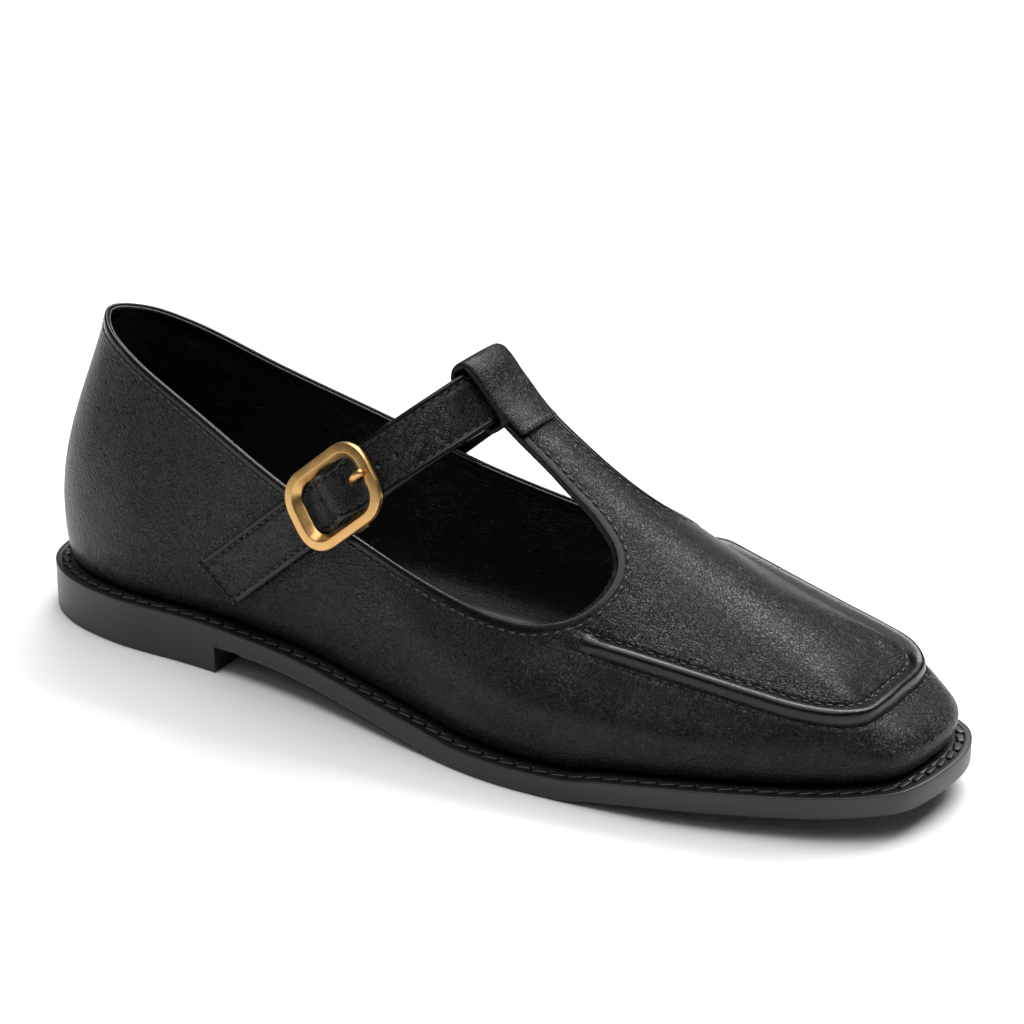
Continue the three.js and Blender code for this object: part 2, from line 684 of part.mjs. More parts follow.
// Frame of the strap's sloping plane: along its run, across it, and out from the foot.
const onPlane = (spot, side) =>
  new THREE.Vector3(spot.at * SOLE_LENGTH, side, spot.up * BACK_HEIGHT);
const buckleSpot = onPlane(BUCKLE_AT, 0);
const loopSpot = onPlane(LOOP_AT, 0);
const RUN = loopSpot.clone().sub(buckleSpot).normalize();
const fromBuckle = (reach, side) =>
  buckleSpot.clone().addScaledVector(RUN, reach).add(new THREE.Vector3(0, side, 0));
const onWay = (way, side) => buckleSpot.clone().lerp(loopSpot, way).setY(side * BALL_WIDTH);
const across = (lean) => new THREE.Vector3(-RUN.z, lean, RUN.x).normalize();

// Buckle frame: along the strap, across it, and out from the strap's face.
const BUCKLE_LEAN = 0.2;
const buckleWide = across(BUCKLE_LEAN);
const buckleOut = RUN.clone().cross(buckleWide);
const BUCKLE_FACE = BUCKLE_SIDE * BALL_WIDTH - STRAP_THICK / 4;
function onBuckle(q, s, d) {
  return fromBuckle(q, BUCKLE_FACE).addScaledVector(buckleWide, s).addScaledVector(buckleOut, d);
}

// A round rod along points of the buckle's middle plane.
function rod(points, side, radius, sides) {
  const s = new Shell();
  const rings = points.map(([q, d], i) => {
    const a = points[Math.max(i - 1, 0)];
    const b = points[Math.min(i + 1, points.length - 1)];
    const long = Math.hypot(b[0] - a[0], b[1] - a[1]);
    const out = [-(b[1] - a[1]) / long, (b[0] - a[0]) / long];
    const ring = [];
    for (let k = 0; k < sides; k += 1) {
      const t = (2 * Math.PI * k) / sides;
      const c = radius * Math.cos(t);
      ring.push(onBuckle(q + out[0] * c, side + radius * Math.sin(t), d + out[1] * c));
    }
    return s.ring(ring);
  });
  for (let i = 0; i < rings.length - 1; i += 1) s.band(rings[i + 1], rings[i]);
  for (let k = 1; k < sides - 1; k += 1) {
    const last = rings[rings.length - 1];
    s.tri(rings[0][0], rings[0][k], rings[0][k + 1]);
    s.tri(last[0], last[k + 1], last[k]);
  }
  return s.geometry();
}

const PRONG_SIDE = 0.3;
const PRONG_RADIUS = 0.8;
const prongRise = BUCKLE_THICK + GAP + PRONG_RADIUS;
// Room inside the frame: length and width that its band takes, and half of what is left.
const BAND_LONG = 8.4;
const BAND_WIDE = 6.4;
const windowHalf = (BUCKLE_LENGTH - BAND_LONG) / 2;
const windowSide = (BUCKLE_WIDTH - BAND_WIDE) / 2;
const PRONG_PATH = [
  [1.9, -3.4],
  [3.4, -3.35],
  [windowHalf - 0.5, prongRise - 0.1],
  [windowHalf + 1.7, prongRise + 0.05],
  [windowHalf + 3.9, prongRise + 0.05],
];

const END_SLANT = 3.2;

// Strap: one band from its free end on the outer side to its sewn end on the inner side.
{
  const path = new THREE.CatmullRomCurve3(
    STRAP.map((r) => onWay(r.way, r.side)),
    false,
    "centripetal",
  );
  const steps = (STRAP.length - 1) * 3;
  const s = new Shell();
  const corners = [
    [-0.5, -0.5],
    [0.5, -0.5],
    [0.5, 0.5],
    [-0.5, 0.5],
  ];
  const rings = [];
  for (let i = 0; i <= steps; i += 1) {
    const row = (i / steps) * (STRAP.length - 1);
    const k = Math.min(Math.floor(row), STRAP.length - 2);
    const lean = THREE.MathUtils.lerp(STRAP[k].lean, STRAP[k + 1].lean, row - k);
    const p = path.getPoint(i / steps);
    const wide = across(lean);
    const out = path.getTangent(i / steps).cross(wide).normalize();
    const slant = i === 0 ? END_SLANT : 0;
    const ring = corners.map(([w, t]) =>
      p
        .clone()
        .addScaledVector(wide, w * STRAP_WIDTH)
        .addScaledVector(out, t * STRAP_THICK)
        .addScaledVector(RUN, slant * (0.5 - w)),
    );
    rings.push(s.ring(ring));
  }
  for (let i = 0; i < steps; i += 1) s.band(rings[i + 1], rings[i]);
  const first = rings[0];
  const last = rings[steps];
  s.tri(first[0], first[1], first[2]);
  s.tri(first[0], first[2], first[3]);
  s.tri(last[0], last[2], last[1]);
  s.tri(last[0], last[3], last[2]);
  const bore = [[2.6, -4.4], [windowHalf - 0.7, 2.6]];
  const slot = solid(rod(bore, PRONG_SIDE, PRONG_RADIUS + 0.4, 8));
  put("strap", fromSolid(solid(s.geometry()).subtract(slot)), "leather");
}

// Loop: a band round the strap, its front end lying on the end of the T-bar.
{
  // Section of the band and of its hole, as shares of the strap's width and thickness.
  const outline = [
    [-0.5333, -1.5833], [0, -1.5833], [0.5333, -1.5833], [0.6133, -1.2083],
    [0.64, -0.5], [0.64, 0.8333], [0.64, 1.6875], [0.76, 1.8333],
    [0.8667, 1.9792], [0.8667, 2.375], [0.68, 2.1667], [0.4, 1.8333],
    [0, 1.6667], [-0.3667, 1.6667], [-0.56, 1.4167], [-0.66, 0.75],
    [-0.6867, 0], [-0.66, -0.75], [-0.6067, -1.2083],
  ];
  const hole = [
    [-0.4867, -0.875], [0.4867, -0.875], [0.54, -0.6667], [0.54, 0.5833],
    [0.4867, 0.75], [-0.4867, 0.75], [-0.54, 0.5833], [-0.54, -0.6667],
  ];
  const centre = fromBuckle(loopSpot.distanceTo(buckleSpot), 0.2);
  const put3 = ([wide, out], y) => {
    const drop = out * STRAP_THICK - 0.85 * (y / 8) ** 2;
    const spot = centre.clone().add(new THREE.Vector3(0, y, 0));
    return spot.addScaledVector(across(0), -wide * STRAP_WIDTH).addScaledVector(RUN, drop);
  };
  const s = new Shell();
  const cuts = [-1, -0.6, -0.2, 0.2, 0.6, 1].map((k) => (k * (BAR_WIDTH + 2.6)) / 2);
  const outer = cuts.map((y) => s.ring(outline.map((p) => put3(p, y))));
  const inner = cuts.map((y) => s.ring(hole.map((p) => put3(p, y))));
  for (let i = 0; i < cuts.length - 1; i += 1) {
    s.band(outer[i], outer[i + 1]);
    s.band(inner[i + 1], inner[i]);
  }
  const flat = (list) => list.map(([a, b]) => new THREE.Vector2(a, b));
  const faces = THREE.ShapeUtils.triangulateShape(flat(outline), [flat(hole)]);
  const ends = [
    [...outer[0], ...inner[0]],
    [...outer[cuts.length - 1], ...inner[cuts.length - 1]],
  ];
  for (const [a, b, c] of faces) {
    s.tri(ends[0][a], ends[0][c], ends[0][b]);
    s.tri(ends[1][a], ends[1][b], ends[1][c]);
  }
  put("strap_loop", s.geometry(), "leather");
}

// Buckle: rounded frame with softened edges, two lugs and the bar the strap bends over.
{
  const sides = 32;
  const rounded = (long, wide, round) => {
    const out = [];
    for (let k = 0; k < sides; k += 1) {
      const t = (2 * Math.PI * (k + 0.5)) / sides;
      const cx = (long / 2 - round) * Math.sign(Math.cos(t));
      const cy = (wide / 2 - round) * Math.sign(Math.sin(t));
      out.push([cx + round * Math.cos(t), cy + round * Math.sin(t)]);
    }
    return out;
  };
  const s = new Shell();
  const ring = (long, wide, round, d) =>
    s.ring(rounded(long, wide, round).map(([q, w]) => onBuckle(q - 0.3, w - 0.2, d)));
  const rings = [
    ring(BUCKLE_LENGTH - 0.8, BUCKLE_WIDTH - 0.8, 6.2, 0),
    ring(BUCKLE_LENGTH, BUCKLE_WIDTH, 6.6, 0.6),
    ring(BUCKLE_LENGTH, BUCKLE_WIDTH, 6.6, BUCKLE_THICK - 0.6),
    ring(BUCKLE_LENGTH - 0.8, BUCKLE_WIDTH - 0.8, 6.2, BUCKLE_THICK),
    ring(2 * windowHalf + 0.8, 2 * windowSide + 0.8, 3.4, BUCKLE_THICK),
    ring(2 * windowHalf, 2 * windowSide, 3, BUCKLE_THICK - 0.5),
    ring(2 * windowHalf, 2 * windowSide, 3, 0),
  ];
  rings.forEach((r, i) => s.band(rings[(i + 1) % rings.length], r));
  let whole = solid(s.geometry());
  const lug = (side) => {
    const box = new Shell();
    const near = windowSide + 0.4;
    const plan = [[-1.6, near], [1.6, near], [1.6, near + 1.8], [-1.6, near + 1.8]];
    const low = box.ring(plan.map(([q, w]) => onBuckle(q, side * w - 0.2, -4)));
    const high = box.ring(plan.map(([q, w]) => onBuckle(q, side * w - 0.2, 0.5)));
    box.band(low, high);
    box.tri(low[0], low[2], low[1]);
    box.tri(low[0], low[3], low[2]);
    box.tri(high[0], high[1], high[2]);
    box.tri(high[0], high[2], high[3]);
    return solid(box.geometry());
  };
  const bar = new Shell();
  const end = (w) => {
    const out = [];
    for (let k = 0; k < 10; k += 1) {
      const t = (Math.PI * k) / 5;
      out.push(onBuckle(Math.cos(t), w, -3.1 + Math.sin(t)));
    }
    return bar.ring(out);
  };
  const low = end(-windowSide - 2);
  const high = end(windowSide + 1);
  bar.band(high, low);
  for (let k = 1; k < 9; k += 1) {
    bar.tri(low[0], low[k], low[k + 1]);
    bar.tri(high[0], high[k + 1], high[k]);
  }
  const parts = [lug(-1), lug(1), solid(bar.geometry())];
  for (const part of parts) whole = whole.add(part);
  put("buckle", fromSolid(whole), "metal");
}

// Prong: from the bar up through the strap and over the frame's forward side.
put("prong", rod(PRONG_PATH, PRONG_SIDE, PRONG_RADIUS, 8), "metal");

export default group;
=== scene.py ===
import json
import math

import bmesh
import bpy
import numpy as np
from mathutils import Matrix, Vector
from mathutils.bvhtree import BVHTree

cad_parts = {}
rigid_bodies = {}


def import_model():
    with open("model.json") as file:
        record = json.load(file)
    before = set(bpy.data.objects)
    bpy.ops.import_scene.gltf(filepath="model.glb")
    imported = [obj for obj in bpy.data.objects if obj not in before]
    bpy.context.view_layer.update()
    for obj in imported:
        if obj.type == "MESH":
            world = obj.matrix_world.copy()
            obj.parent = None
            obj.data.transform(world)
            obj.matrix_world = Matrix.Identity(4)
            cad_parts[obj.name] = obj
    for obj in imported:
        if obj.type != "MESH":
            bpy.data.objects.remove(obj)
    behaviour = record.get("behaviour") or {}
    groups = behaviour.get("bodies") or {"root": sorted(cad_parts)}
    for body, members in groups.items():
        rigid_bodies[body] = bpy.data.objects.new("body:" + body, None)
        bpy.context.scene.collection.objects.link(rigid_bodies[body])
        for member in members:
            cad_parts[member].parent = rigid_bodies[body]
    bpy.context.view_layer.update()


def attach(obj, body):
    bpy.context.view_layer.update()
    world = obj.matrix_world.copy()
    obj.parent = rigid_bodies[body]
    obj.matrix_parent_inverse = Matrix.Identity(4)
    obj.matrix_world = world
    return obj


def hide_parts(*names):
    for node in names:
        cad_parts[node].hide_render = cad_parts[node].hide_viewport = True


for spare in list(bpy.data.objects):
    bpy.data.objects.remove(spare)
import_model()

# Camera
# The shoe stands with its outer side and toe toward the lens, seen from a little above.
# Angles in degrees round the shoe, distances in metres, the lens for a square picture.
AIM = np.array([0.070338, 0.063557, 0.020])
BEARING = math.radians(31.372)
RISE = math.radians(23.062)
ROLL = math.radians(-0.166)
DISTANCE = 0.897674
SENSOR = 36.0
FOCAL_PIXELS = 3181.909
PHOTO_PIXELS = 1024
LENS = SENSOR * FOCAL_PIXELS / PHOTO_PIXELS

away = np.array(
    [math.sin(BEARING) * math.cos(RISE), -math.cos(BEARING) * math.cos(RISE), math.sin(RISE)]
)
level = np.array([math.cos(BEARING), math.sin(BEARING), 0.0])
upright = np.cross(away, level)
turned_x = level * math.cos(ROLL) + upright * math.sin(ROLL)
turned_y = upright * math.cos(ROLL) - level * math.sin(ROLL)
eye = AIM + away * DISTANCE
camera = bpy.data.objects.new("camera", bpy.data.cameras.new("camera"))
bpy.context.scene.collection.objects.link(camera)
camera.matrix_world = Matrix(
    [[turned_x[i], turned_y[i], away[i], eye[i]] for i in range(3)] + [[0, 0, 0, 1]]
)
camera.data.sensor_width = SENSOR
camera.data.lens = LENS
camera.data.clip_start = 0.05
camera.data.clip_end = 20
bpy.context.scene.camera = camera

# Outsole
# A full-length leather-finished sole, 5.9 mm with its welt, thin at the ball, sprung at
# the toe, its edge one smooth satin face. All lengths are in millimetres from the heel's
# back, which lies HEEL_BACK behind the frame's origin.
HEEL_BACK = 35.0
BREAST = 70.0
EDGE = 5.9
SEAT = 13.5
WELT = 2.0
WELT_REACH = 7.0
HEEL_TIP = (0.0, 0.5)
TOE_TIP = (270.0, 5.5)
# along, outer half width, inner half width
SOLE_PLAN = (
    (2.5, 11.8, 12.8), (8, 19.1, 19.4), (18, 25.4, 24.8), (36, 29.8, 27.6), (62, 30.3, 28),
    (90, 32.6, 27.7), (115, 36.9, 29.4), (140, 42.2, 33), (165, 46.3, 37.6), (190, 45.5, 40.2),
    (212, 42.8, 39.1), (232, 37.7, 34.6), (248, 32, 29.5), (259, 25.8, 24), (266, 18.8, 17.9),
)
# along, height of the welt's top
FOOTBED = (
    (0, SEAT), (62, SEAT), (80, 13), (100, 11.9), (120, 9.6), (140, 7.4), (152, 5.9),
    (184, 5.9), (195, 7.7), (215, 9.8), (245, 11.7), (271, 13.4),
)


def curve_of(rows, key):
    """A smooth value along the shoe through one column of a table, and its slope."""
    x = np.array([r[0] for r in rows], float)
    y = np.array([r[key] for r in rows], float)
    m = np.empty(len(x))
    m[1:-1] = (y[2:] - y[:-2]) / (x[2:] - x[:-2])
    m[0] = (y[1] - y[0]) / (x[1] - x[0])
    m[-1] = (y[-1] - y[-2]) / (x[-1] - x[-2])

    def value(at, slope=False):
        p = np.clip(np.asarray(at, float), x[0], x[-1])
        i = np.clip(np.searchsorted(x, p, side="right") - 1, 0, len(x) - 2)
        h = x[i + 1] - x[i]
        t = (p - x[i]) / h
        if slope:
            bend = (3 * t * t - 4 * t + 1) * m[i] + (3 * t * t - 2 * t) * m[i + 1]
            return 6 * (t * t - t) * (y[i] - y[i + 1]) / h + bend
        rise = 3 * t * t - 2 * t**3
        bend = h * (t * (1 - t) ** 2 * m[i] - t * t * (1 - t) * m[i + 1])
        return y[i] * (1 - rise) + y[i + 1] * rise + bend

    return value


def smooth_loop(points, steps, closed=True):
    """Centripetal curve through the points, with steps between each two."""
    p = np.asarray(points, float)
    ends = (p[-1:], p[:2]) if closed else ([2 * p[0] - p[1]], [2 * p[-1] - p[-2]])
    p = np.vstack([ends[0], p, ends[1]])
    out = []
    for i in range(len(p) - 3):
        q = p[i : i + 4]
        d = [max(np.linalg.norm(q[k + 1] - q[k]) ** 0.5, 1e-6) for k in range(3)]
        a = (q[1] - q[0]) / d[0] - (q[2] - q[0]) / (d[0] + d[1]) + (q[2] - q[1]) / d[1]
        b = (q[2] - q[1]) / d[1] - (q[3] - q[1]) / (d[1] + d[2]) + (q[3] - q[2]) / d[2]
        for k in range(steps):
            t = k / steps
            out.append(
                (2 * t**3 - 3 * t * t + 1) * q[1]
                + (t**3 - 2 * t * t + t) * a * d[1]
                + (3 * t * t - 2 * t**3) * q[2]
                + (t**3 - t * t) * b * d[1]
            )
    if not closed:
        out.append(p[-2])
    return np.array(out)


def section_loop(back, rows, front, steps):
    """A loop round the shoe from rows that hold its outer and inner half widths."""
    outer = [(r[0], -r[1]) + tuple(r[3:4]) for r in rows]
    inner = [(r[0], r[2]) + tuple(r[4:5]) for r in rows]
    return smooth_loop([back, *outer, front, *inner[::-1]], steps)


def inset(loop, reach):
    """The loop moved inward in plan by one reach or one for each point."""
    run = np.roll(loop, -1, 0) - np.roll(loop, 1, 0)
    run = run[:, :2] / np.linalg.norm(run[:, :2], axis=1)[:, None]
    out = loop.copy()
    out[:, 0] -= run[:, 1] * reach
    out[:, 1] += run[:, 0] * reach
    return out


def at_height(loop, z):
    """The plan loop lifted to one height or one for each point."""
    return np.column_stack([loop[:, 0], loop[:, 1], np.broadcast_to(z, len(loop))])


def opened(mesh):
    work = bmesh.new()
    work.from_mesh(mesh)
    return work


def put_back(work, mesh, outward=False):
    """The changed mesh goes back, its faces turned outward where that is asked for."""
    if outward:
        bmesh.ops.recalc_face_normals(work, faces=work.faces)
    work.to_mesh(mesh)
    work.free()


def placed(name, mesh):
    """A new object in the scene with this mesh or lamp."""
    made = bpy.data.objects.new(name, mesh)
    bpy.context.scene.collection.objects.link(made)
    return made


def piece_from(name, points, faces, materials, sharp=40, which=None):
    """A mesh object from points in millimetres of the shoe, merged, faces outward."""
    mesh = bpy.data.meshes.new(name)
    place = (np.asarray(points, float) - (HEEL_BACK, 0, 0)) / 1000
    mesh.from_pydata(place.tolist(), [], faces)
    for m in materials:
        mesh.materials.append(m)
    if which is not None:
        mesh.polygons.foreach_set("material_index", which)
    work = opened(mesh)
    bmesh.ops.remove_doubles(work, verts=work.verts, dist=2e-6)
    put_back(work, mesh, outward=True)
    finish_mesh(mesh, sharp)
    return placed(name, mesh)


def finish_mesh(mesh, sharp):
    """Smooth shading that keeps the edges sharper than an angle."""
    mesh.shade_smooth()
    mesh.set_sharp_from_angle(angle=math.radians(sharp))


def bands(count, rings, closed=True, round_again=False):
    """Quads between rings of one length that are stacked one after another."""
    faces = []
    for j in range(rings if round_again else rings - 1):
        a = j * count
        b = ((j + 1) % rings) * count
        for i in range(count if closed else count - 1):
            k = (i + 1) % count
            faces.append((a + i, a + k, b + k, b + i))
    return faces


def cap_faces(count, start):
    """Strips across a loop whose points pair off outer and inner."""
    faces = []
    for i in range(count // 2):
        quad = [start + i, start + i + 1, start + count - i - 1, start + (count - i) % count]
        faces.append(tuple(dict.fromkeys(quad)))
    return faces


def filled(count, rings):
    """Bands between rings round the shoe, with the first and last ring closed across."""
    return bands(count, rings) + cap_faces(count, 0) + cap_faces(count, count * (rings - 1))


def node(tree, kind, props=None, take=0, **inputs):
    """An output of a new node, whose inputs are set or linked by their name or number."""
    n = tree.nodes.new(kind)
    for key, value in (props or {}).items():
        setattr(n, key, value)
    for key, value in inputs.items():
        numbered = key[0] == "_" and key[1:].isdigit()
        socket = n.inputs[int(key[1:]) if numbered else key.replace("_", " ")]
        if isinstance(value, bpy.types.NodeSocket):
            tree.links.new(value, socket)
        else:
            socket.default_value = value
    return n.outputs[take]


def noise(tree, place, scale, detail, **more):
    return node(tree, "ShaderNodeTexNoise", Vector=place, Scale=scale, Detail=detail, **more)


def ranged(tree, value, **ends):
    """The value moved from one range to another and held there."""
    return node(tree, "ShaderNodeMapRange", Value=value, **ends)


def bumped(tree, shader, height, strength, distance):
    """The shader's normal follows a height, its distance in metres."""
    bump = node(tree, "ShaderNodeBump", Strength=strength, Distance=distance, Height=height)
    tree.links.new(bump, shader.inputs["Normal"])


def finish_of(name, colour, roughness, **more):
    """A material with one Principled shader, its plain values set on the sockets."""
    m = bpy.data.materials.new(name)
    m.use_nodes = True
    shader = m.node_tree.nodes["Principled BSDF"]
    shader.inputs["Base Color"].default_value = (*colour, 1)
    shader.inputs["Roughness"].default_value = roughness
    for key, value in more.items():
        shader.inputs[key.replace("_", " ")].default_value = value
    m.diffuse_color = (*colour, 1)
    return m, m.node_tree, shader


def dressed(piece, slot, *nodes):
    """The piece rides on the shoe and stands for CAD nodes, which it hides; the slot is not used.
    """
    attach(piece, "root")
    if nodes:
        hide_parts(*nodes)
    return piece


seat = curve_of(FOOTBED, 1)
sole_loop = section_loop(HEEL_TIP, SOLE_PLAN, TOE_TIP, 16)
along = sole_loop[:, 0]
COUNT = len(sole_loop)


def tread_height(x):
    """Height of the sole's underside, flat over the heel and down to the floor."""
    return np.where(x < BREAST + 8, SEAT - EDGE, np.maximum(0, seat(x) - EDGE))


edge_finish, edge_nodes, edge_shader = finish_of(
    "sole_edge_black", (0.01, 0.01, 0.0103), 0.42, Coat_Weight=0.06, Coat_Roughness=0.35
)
coords = node(edge_nodes, "ShaderNodeTexCoord", take="Object")
brushed = node(edge_nodes, "ShaderNodeMapping", Scale=(60, 60, 1400), Vector=coords)
bumped(edge_nodes, edge_shader, noise(edge_nodes, brushed, 1.0, 3.0), 0.12, 0.0002)
mottle = ranged(edge_nodes, noise(edge_nodes, coords, 45.0, 4.0), To_Min=0.36, To_Max=0.5)
edge_nodes.links.new(mottle, edge_shader.inputs["Roughness"])

HEEL_TOP = SEAT - EDGE
# inset from the edge, lift above the tread: the lower corner, rounded off ahead of the heel
LOWER_CORNER = ((14.0, 0.0), (0.9, 0.0), (0.35, 0.12), (0.08, 0.42), (0.0, 0.9))
# inset from the edge, drop below the welt
UPPER_CORNER = ((0.0, 0.0), (8.0, 0.0))
free_edge = np.clip((along - BREAST - 1) / 14, 0, 1)
under = tread_height(along)
rim = seat(along) - WELT
sole_rings = []
for reach, lift in LOWER_CORNER:
    shift = reach if reach > 1 else reach * free_edge
    rise = lift * free_edge + 0.02 * (reach < 1)
    sole_rings.append(at_height(inset(sole_loop, shift), under + rise))
for reach, drop in UPPER_CORNER:
    sole_rings.append(at_height(inset(sole_loop, reach), rim - drop))
outsole = piece_from(
    "outsole_leather", np.vstack(sole_rings), filled(COUNT, len(sole_rings)), [edge_finish]
)
dressed(outsole, "sole_edge", "outsole")

# Heel
# One low block under the flat seat, 7.6 mm high, cut square at the breast.
# Its side is flush with the sole's edge and was waxed together with it.
# inset from the sole's edge, height of the block's rings
HEEL_RINGS = ((0.7, 0.0), (0.25, 0.1), (0.05, 0.3), (0.0, 0.7), (0.0, HEEL_TOP))


def drum(count, rings):
    """Bands between rings, with one flat face on each end."""
    last = count * (rings - 1)
    ends = [tuple(range(count)), tuple(range(last, last + count))]
    return bands(count, rings) + ends


outer_part = np.where(along[: COUNT // 2] < BREAST - 0.3)[0]
inner_part = COUNT // 2 + np.where(along[COUNT // 2 :] < BREAST - 0.3)[0]
outer_side = sole_loop[: COUNT // 2]
inner_side = sole_loop[COUNT // 2 :][::-1]
breast_outer = np.interp(BREAST, outer_side[:, 0], outer_side[:, 1])
breast_inner = np.interp(BREAST, inner_side[:, 0], inner_side[:, 1])
heel_plan = np.vstack(
    [
        [[BREAST, breast_inner]],
        sole_loop[inner_part],
        sole_loop[outer_part],
        [[BREAST, breast_outer]],
    ]
)
heel_rings = [at_height(inset(heel_plan, reach), height) for reach, height in HEEL_RINGS]
heel = piece_from(
    "heel_block",
    np.vstack(heel_rings),
    drum(len(heel_plan), len(HEEL_RINGS)),
    [edge_finish],
    sharp=30,
)
dressed(heel, "sole_edge", "heel")

# Welt
# A 2 mm strip sewn round the whole edge with one row of thick waxed lockstitches.
# The stitches lie in a shallow channel between the edge and the dark gap under the upper.
# along, bare welt outside the wall's foot
SEAT_SHOW = ((0, 5.6), (30, 5.8), (100, 6.6), (165, 6.8), (230, 6.8), (255, 7.2), (271, 7.5))
# inset from the edge, height from the welt's top
WELT_SECTION = (
    (0.0, -WELT), (0.0, -0.3), (0.06, -0.1), (0.24, 0.0), (0.5, 0.03), (1.5, 0.0),
    (1.75, -0.08), (2.0, -0.42), (3.9, -0.5), (4.2, -0.2), (4.5, -0.12),
)
seat_show = curve_of(SEAT_SHOW, 1)
bite = seat_show(along) + 0.46 * WELT_REACH
welt_rings = [at_height(inset(sole_loop, r), seat(along) + h) for r, h in WELT_SECTION]
welt_rings.append(at_height(inset(sole_loop, bite), seat(along) - 0.12))
welt_rings.append(at_height(inset(sole_loop, bite), seat(along) - WELT))
welt = piece_from(
    "welt_strip",
    np.vstack(welt_rings),
    bands(COUNT, len(welt_rings), round_again=True),
    [edge_finish],
    sharp=50,
)
dressed(welt, "welt", "welt")

thread_finish, thread_nodes, thread_shader = finish_of(
    "waxed_thread_black", (0.012, 0.012, 0.0125), 0.5, Coat_Weight=0.15, Coat_Roughness=0.3
)
coords = node(thread_nodes, "ShaderNodeTexCoord", take="Object")
bumped(thread_nodes, thread_shader, noise(thread_nodes, coords, 1500.0, 2.0), 0.5, 0.0001)


def group_tree(name, sort, inputs, outputs):
    """A node group with named sockets, its input node and its output node."""
    tree = bpy.data.node_groups.new(name, sort)
    for label, kind, value in inputs:
        s = tree.interface.new_socket(label, in_out="INPUT", socket_type=kind)
        if value is not None:
            s.default_value = value
    for label, kind in outputs:
        tree.interface.new_socket(label, in_out="OUTPUT", socket_type=kind)
    return tree, tree.nodes.new("NodeGroupInput").outputs, tree.nodes.new("NodeGroupOutput")


def stitch_tree():
    """Rounded stitches laid on points that carry their run and the way they face."""
    tree, given, out = group_tree(
        "stitch_row",
        "GeometryNodeTree",
        [
            ("Places", "NodeSocketGeometry", None),
            ("Size", "NodeSocketVector", (0.002, 0.001, 0.001)),
            ("Turn", "NodeSocketFloat", 0.0),
            ("Roundness", "NodeSocketFloat", 0.5),
            ("Fineness", "NodeSocketInt", 2),
            ("Thread", "NodeSocketMaterial", None),
        ],
        [("Stitches", "NodeSocketGeometry")],
    )
    vector = {"data_type": "FLOAT_VECTOR"}
    run, face = [
        node(tree, "GeometryNodeInputNamedAttribute", props=vector, Name=name)
        for name in ("run", "face")
    ]
    align = "FunctionNodeAlignRotationToVector"
    along_run = node(tree, align, props={"axis": "X"}, Vector=run)
    facing = node(
        tree, align, props={"axis": "Z", "pivot_axis": "X"}, Rotation=along_run, Vector=face
    )
    turn = node(tree, "ShaderNodeCombineXYZ", Z=given["Turn"])
    local = {"rotation_space": "LOCAL"}
    leaning = node(tree, "FunctionNodeRotateRotation", props=local, _0=facing, _1=turn)
    rounded = node(
        tree,
        "GeometryNodeSubdivisionSurface",
        Mesh=node(tree, "GeometryNodeMeshCube", Size=(1, 1, 1)),
        Level=given["Fineness"],
        Edge_Crease=given["Roundness"],
    )
    laid = node(
        tree,
        "GeometryNodeInstanceOnPoints",
        Points=given["Places"],
        Instance=rounded,
        Rotation=leaning,
        Scale=given["Size"],
    )
    real = node(tree, "GeometryNodeRealizeInstances", Geometry=laid)
    even = node(tree, "GeometryNodeSetShadeSmooth", Geometry=real)
    ready = node(tree, "GeometryNodeSetMaterial", Geometry=even, Material=given["Thread"])
    tree.links.new(ready, out.inputs[0])
    return tree


STITCHES = stitch_tree()


def gone_along(path):
    """The length gone at each point of a path."""
    return np.concatenate([[0], np.cumsum(np.linalg.norm(np.diff(path, axis=0), axis=1))])


def read_along(want, gone, values):
    """The three columns of values at wanted lengths along a path."""
    return np.column_stack([np.interp(want, gone, values[:, k]) for k in range(3)])


def places_along(path, facing, pitch, closed=False):
    """Even places along a path of points: where, along which way, facing which way."""
    path = np.vstack([path, path[:1]]) if closed else path
    facing = np.vstack([facing, facing[:1]]) if closed else facing
    gone = gone_along(path)
    count = max(2, round(gone[-1] / pitch))
    where = (np.arange(count) + 0.5) * gone[-1] / count
    run = read_along(where + 0.4, gone, path) - read_along(where - 0.4, gone, path)
    return read_along(where, gone, path), run, read_along(where, gone, facing)


def sewn(name, rows, size, slot, turn=0.0, squareness=0.5, fineness=1):
    """One mesh of stitches from rows of places. Size is long, wide, high in millimetres."""
    spots = np.vstack([r[0] for r in rows])
    mesh = bpy.data.meshes.new(name + "_places")
    mesh.from_pydata(((spots - (HEEL_BACK, 0, 0)) / 1000).tolist(), [], [])
    for label, which in (("run", 1), ("face", 2)):
        a = mesh.attributes.new(label, "FLOAT_VECTOR", "POINT")
        a.data.foreach_set("vector", np.vstack([r[which] for r in rows]).ravel())
    source = placed(name + "_places", mesh)
    rule = source.modifiers.new("stitches", "NODES")
    rule.node_group = STITCHES
    sockets = {i.name: i.identifier for i in STITCHES.interface.items_tree}
    rule[sockets["Size"]] = [v / 1000 for v in size]
    rule[sockets["Turn"]] = turn
    rule[sockets["Roundness"]] = squareness
    rule[sockets["Fineness"]] = fineness
    rule[sockets["Thread"]] = thread_finish
    depsgraph = bpy.context.evaluated_depsgraph_get()
    made = bpy.data.meshes.new_from_object(source.evaluated_get(depsgraph))
    made.name = name
    piece = placed(name, made)
    bpy.data.objects.remove(source)
    return dressed(piece, slot)


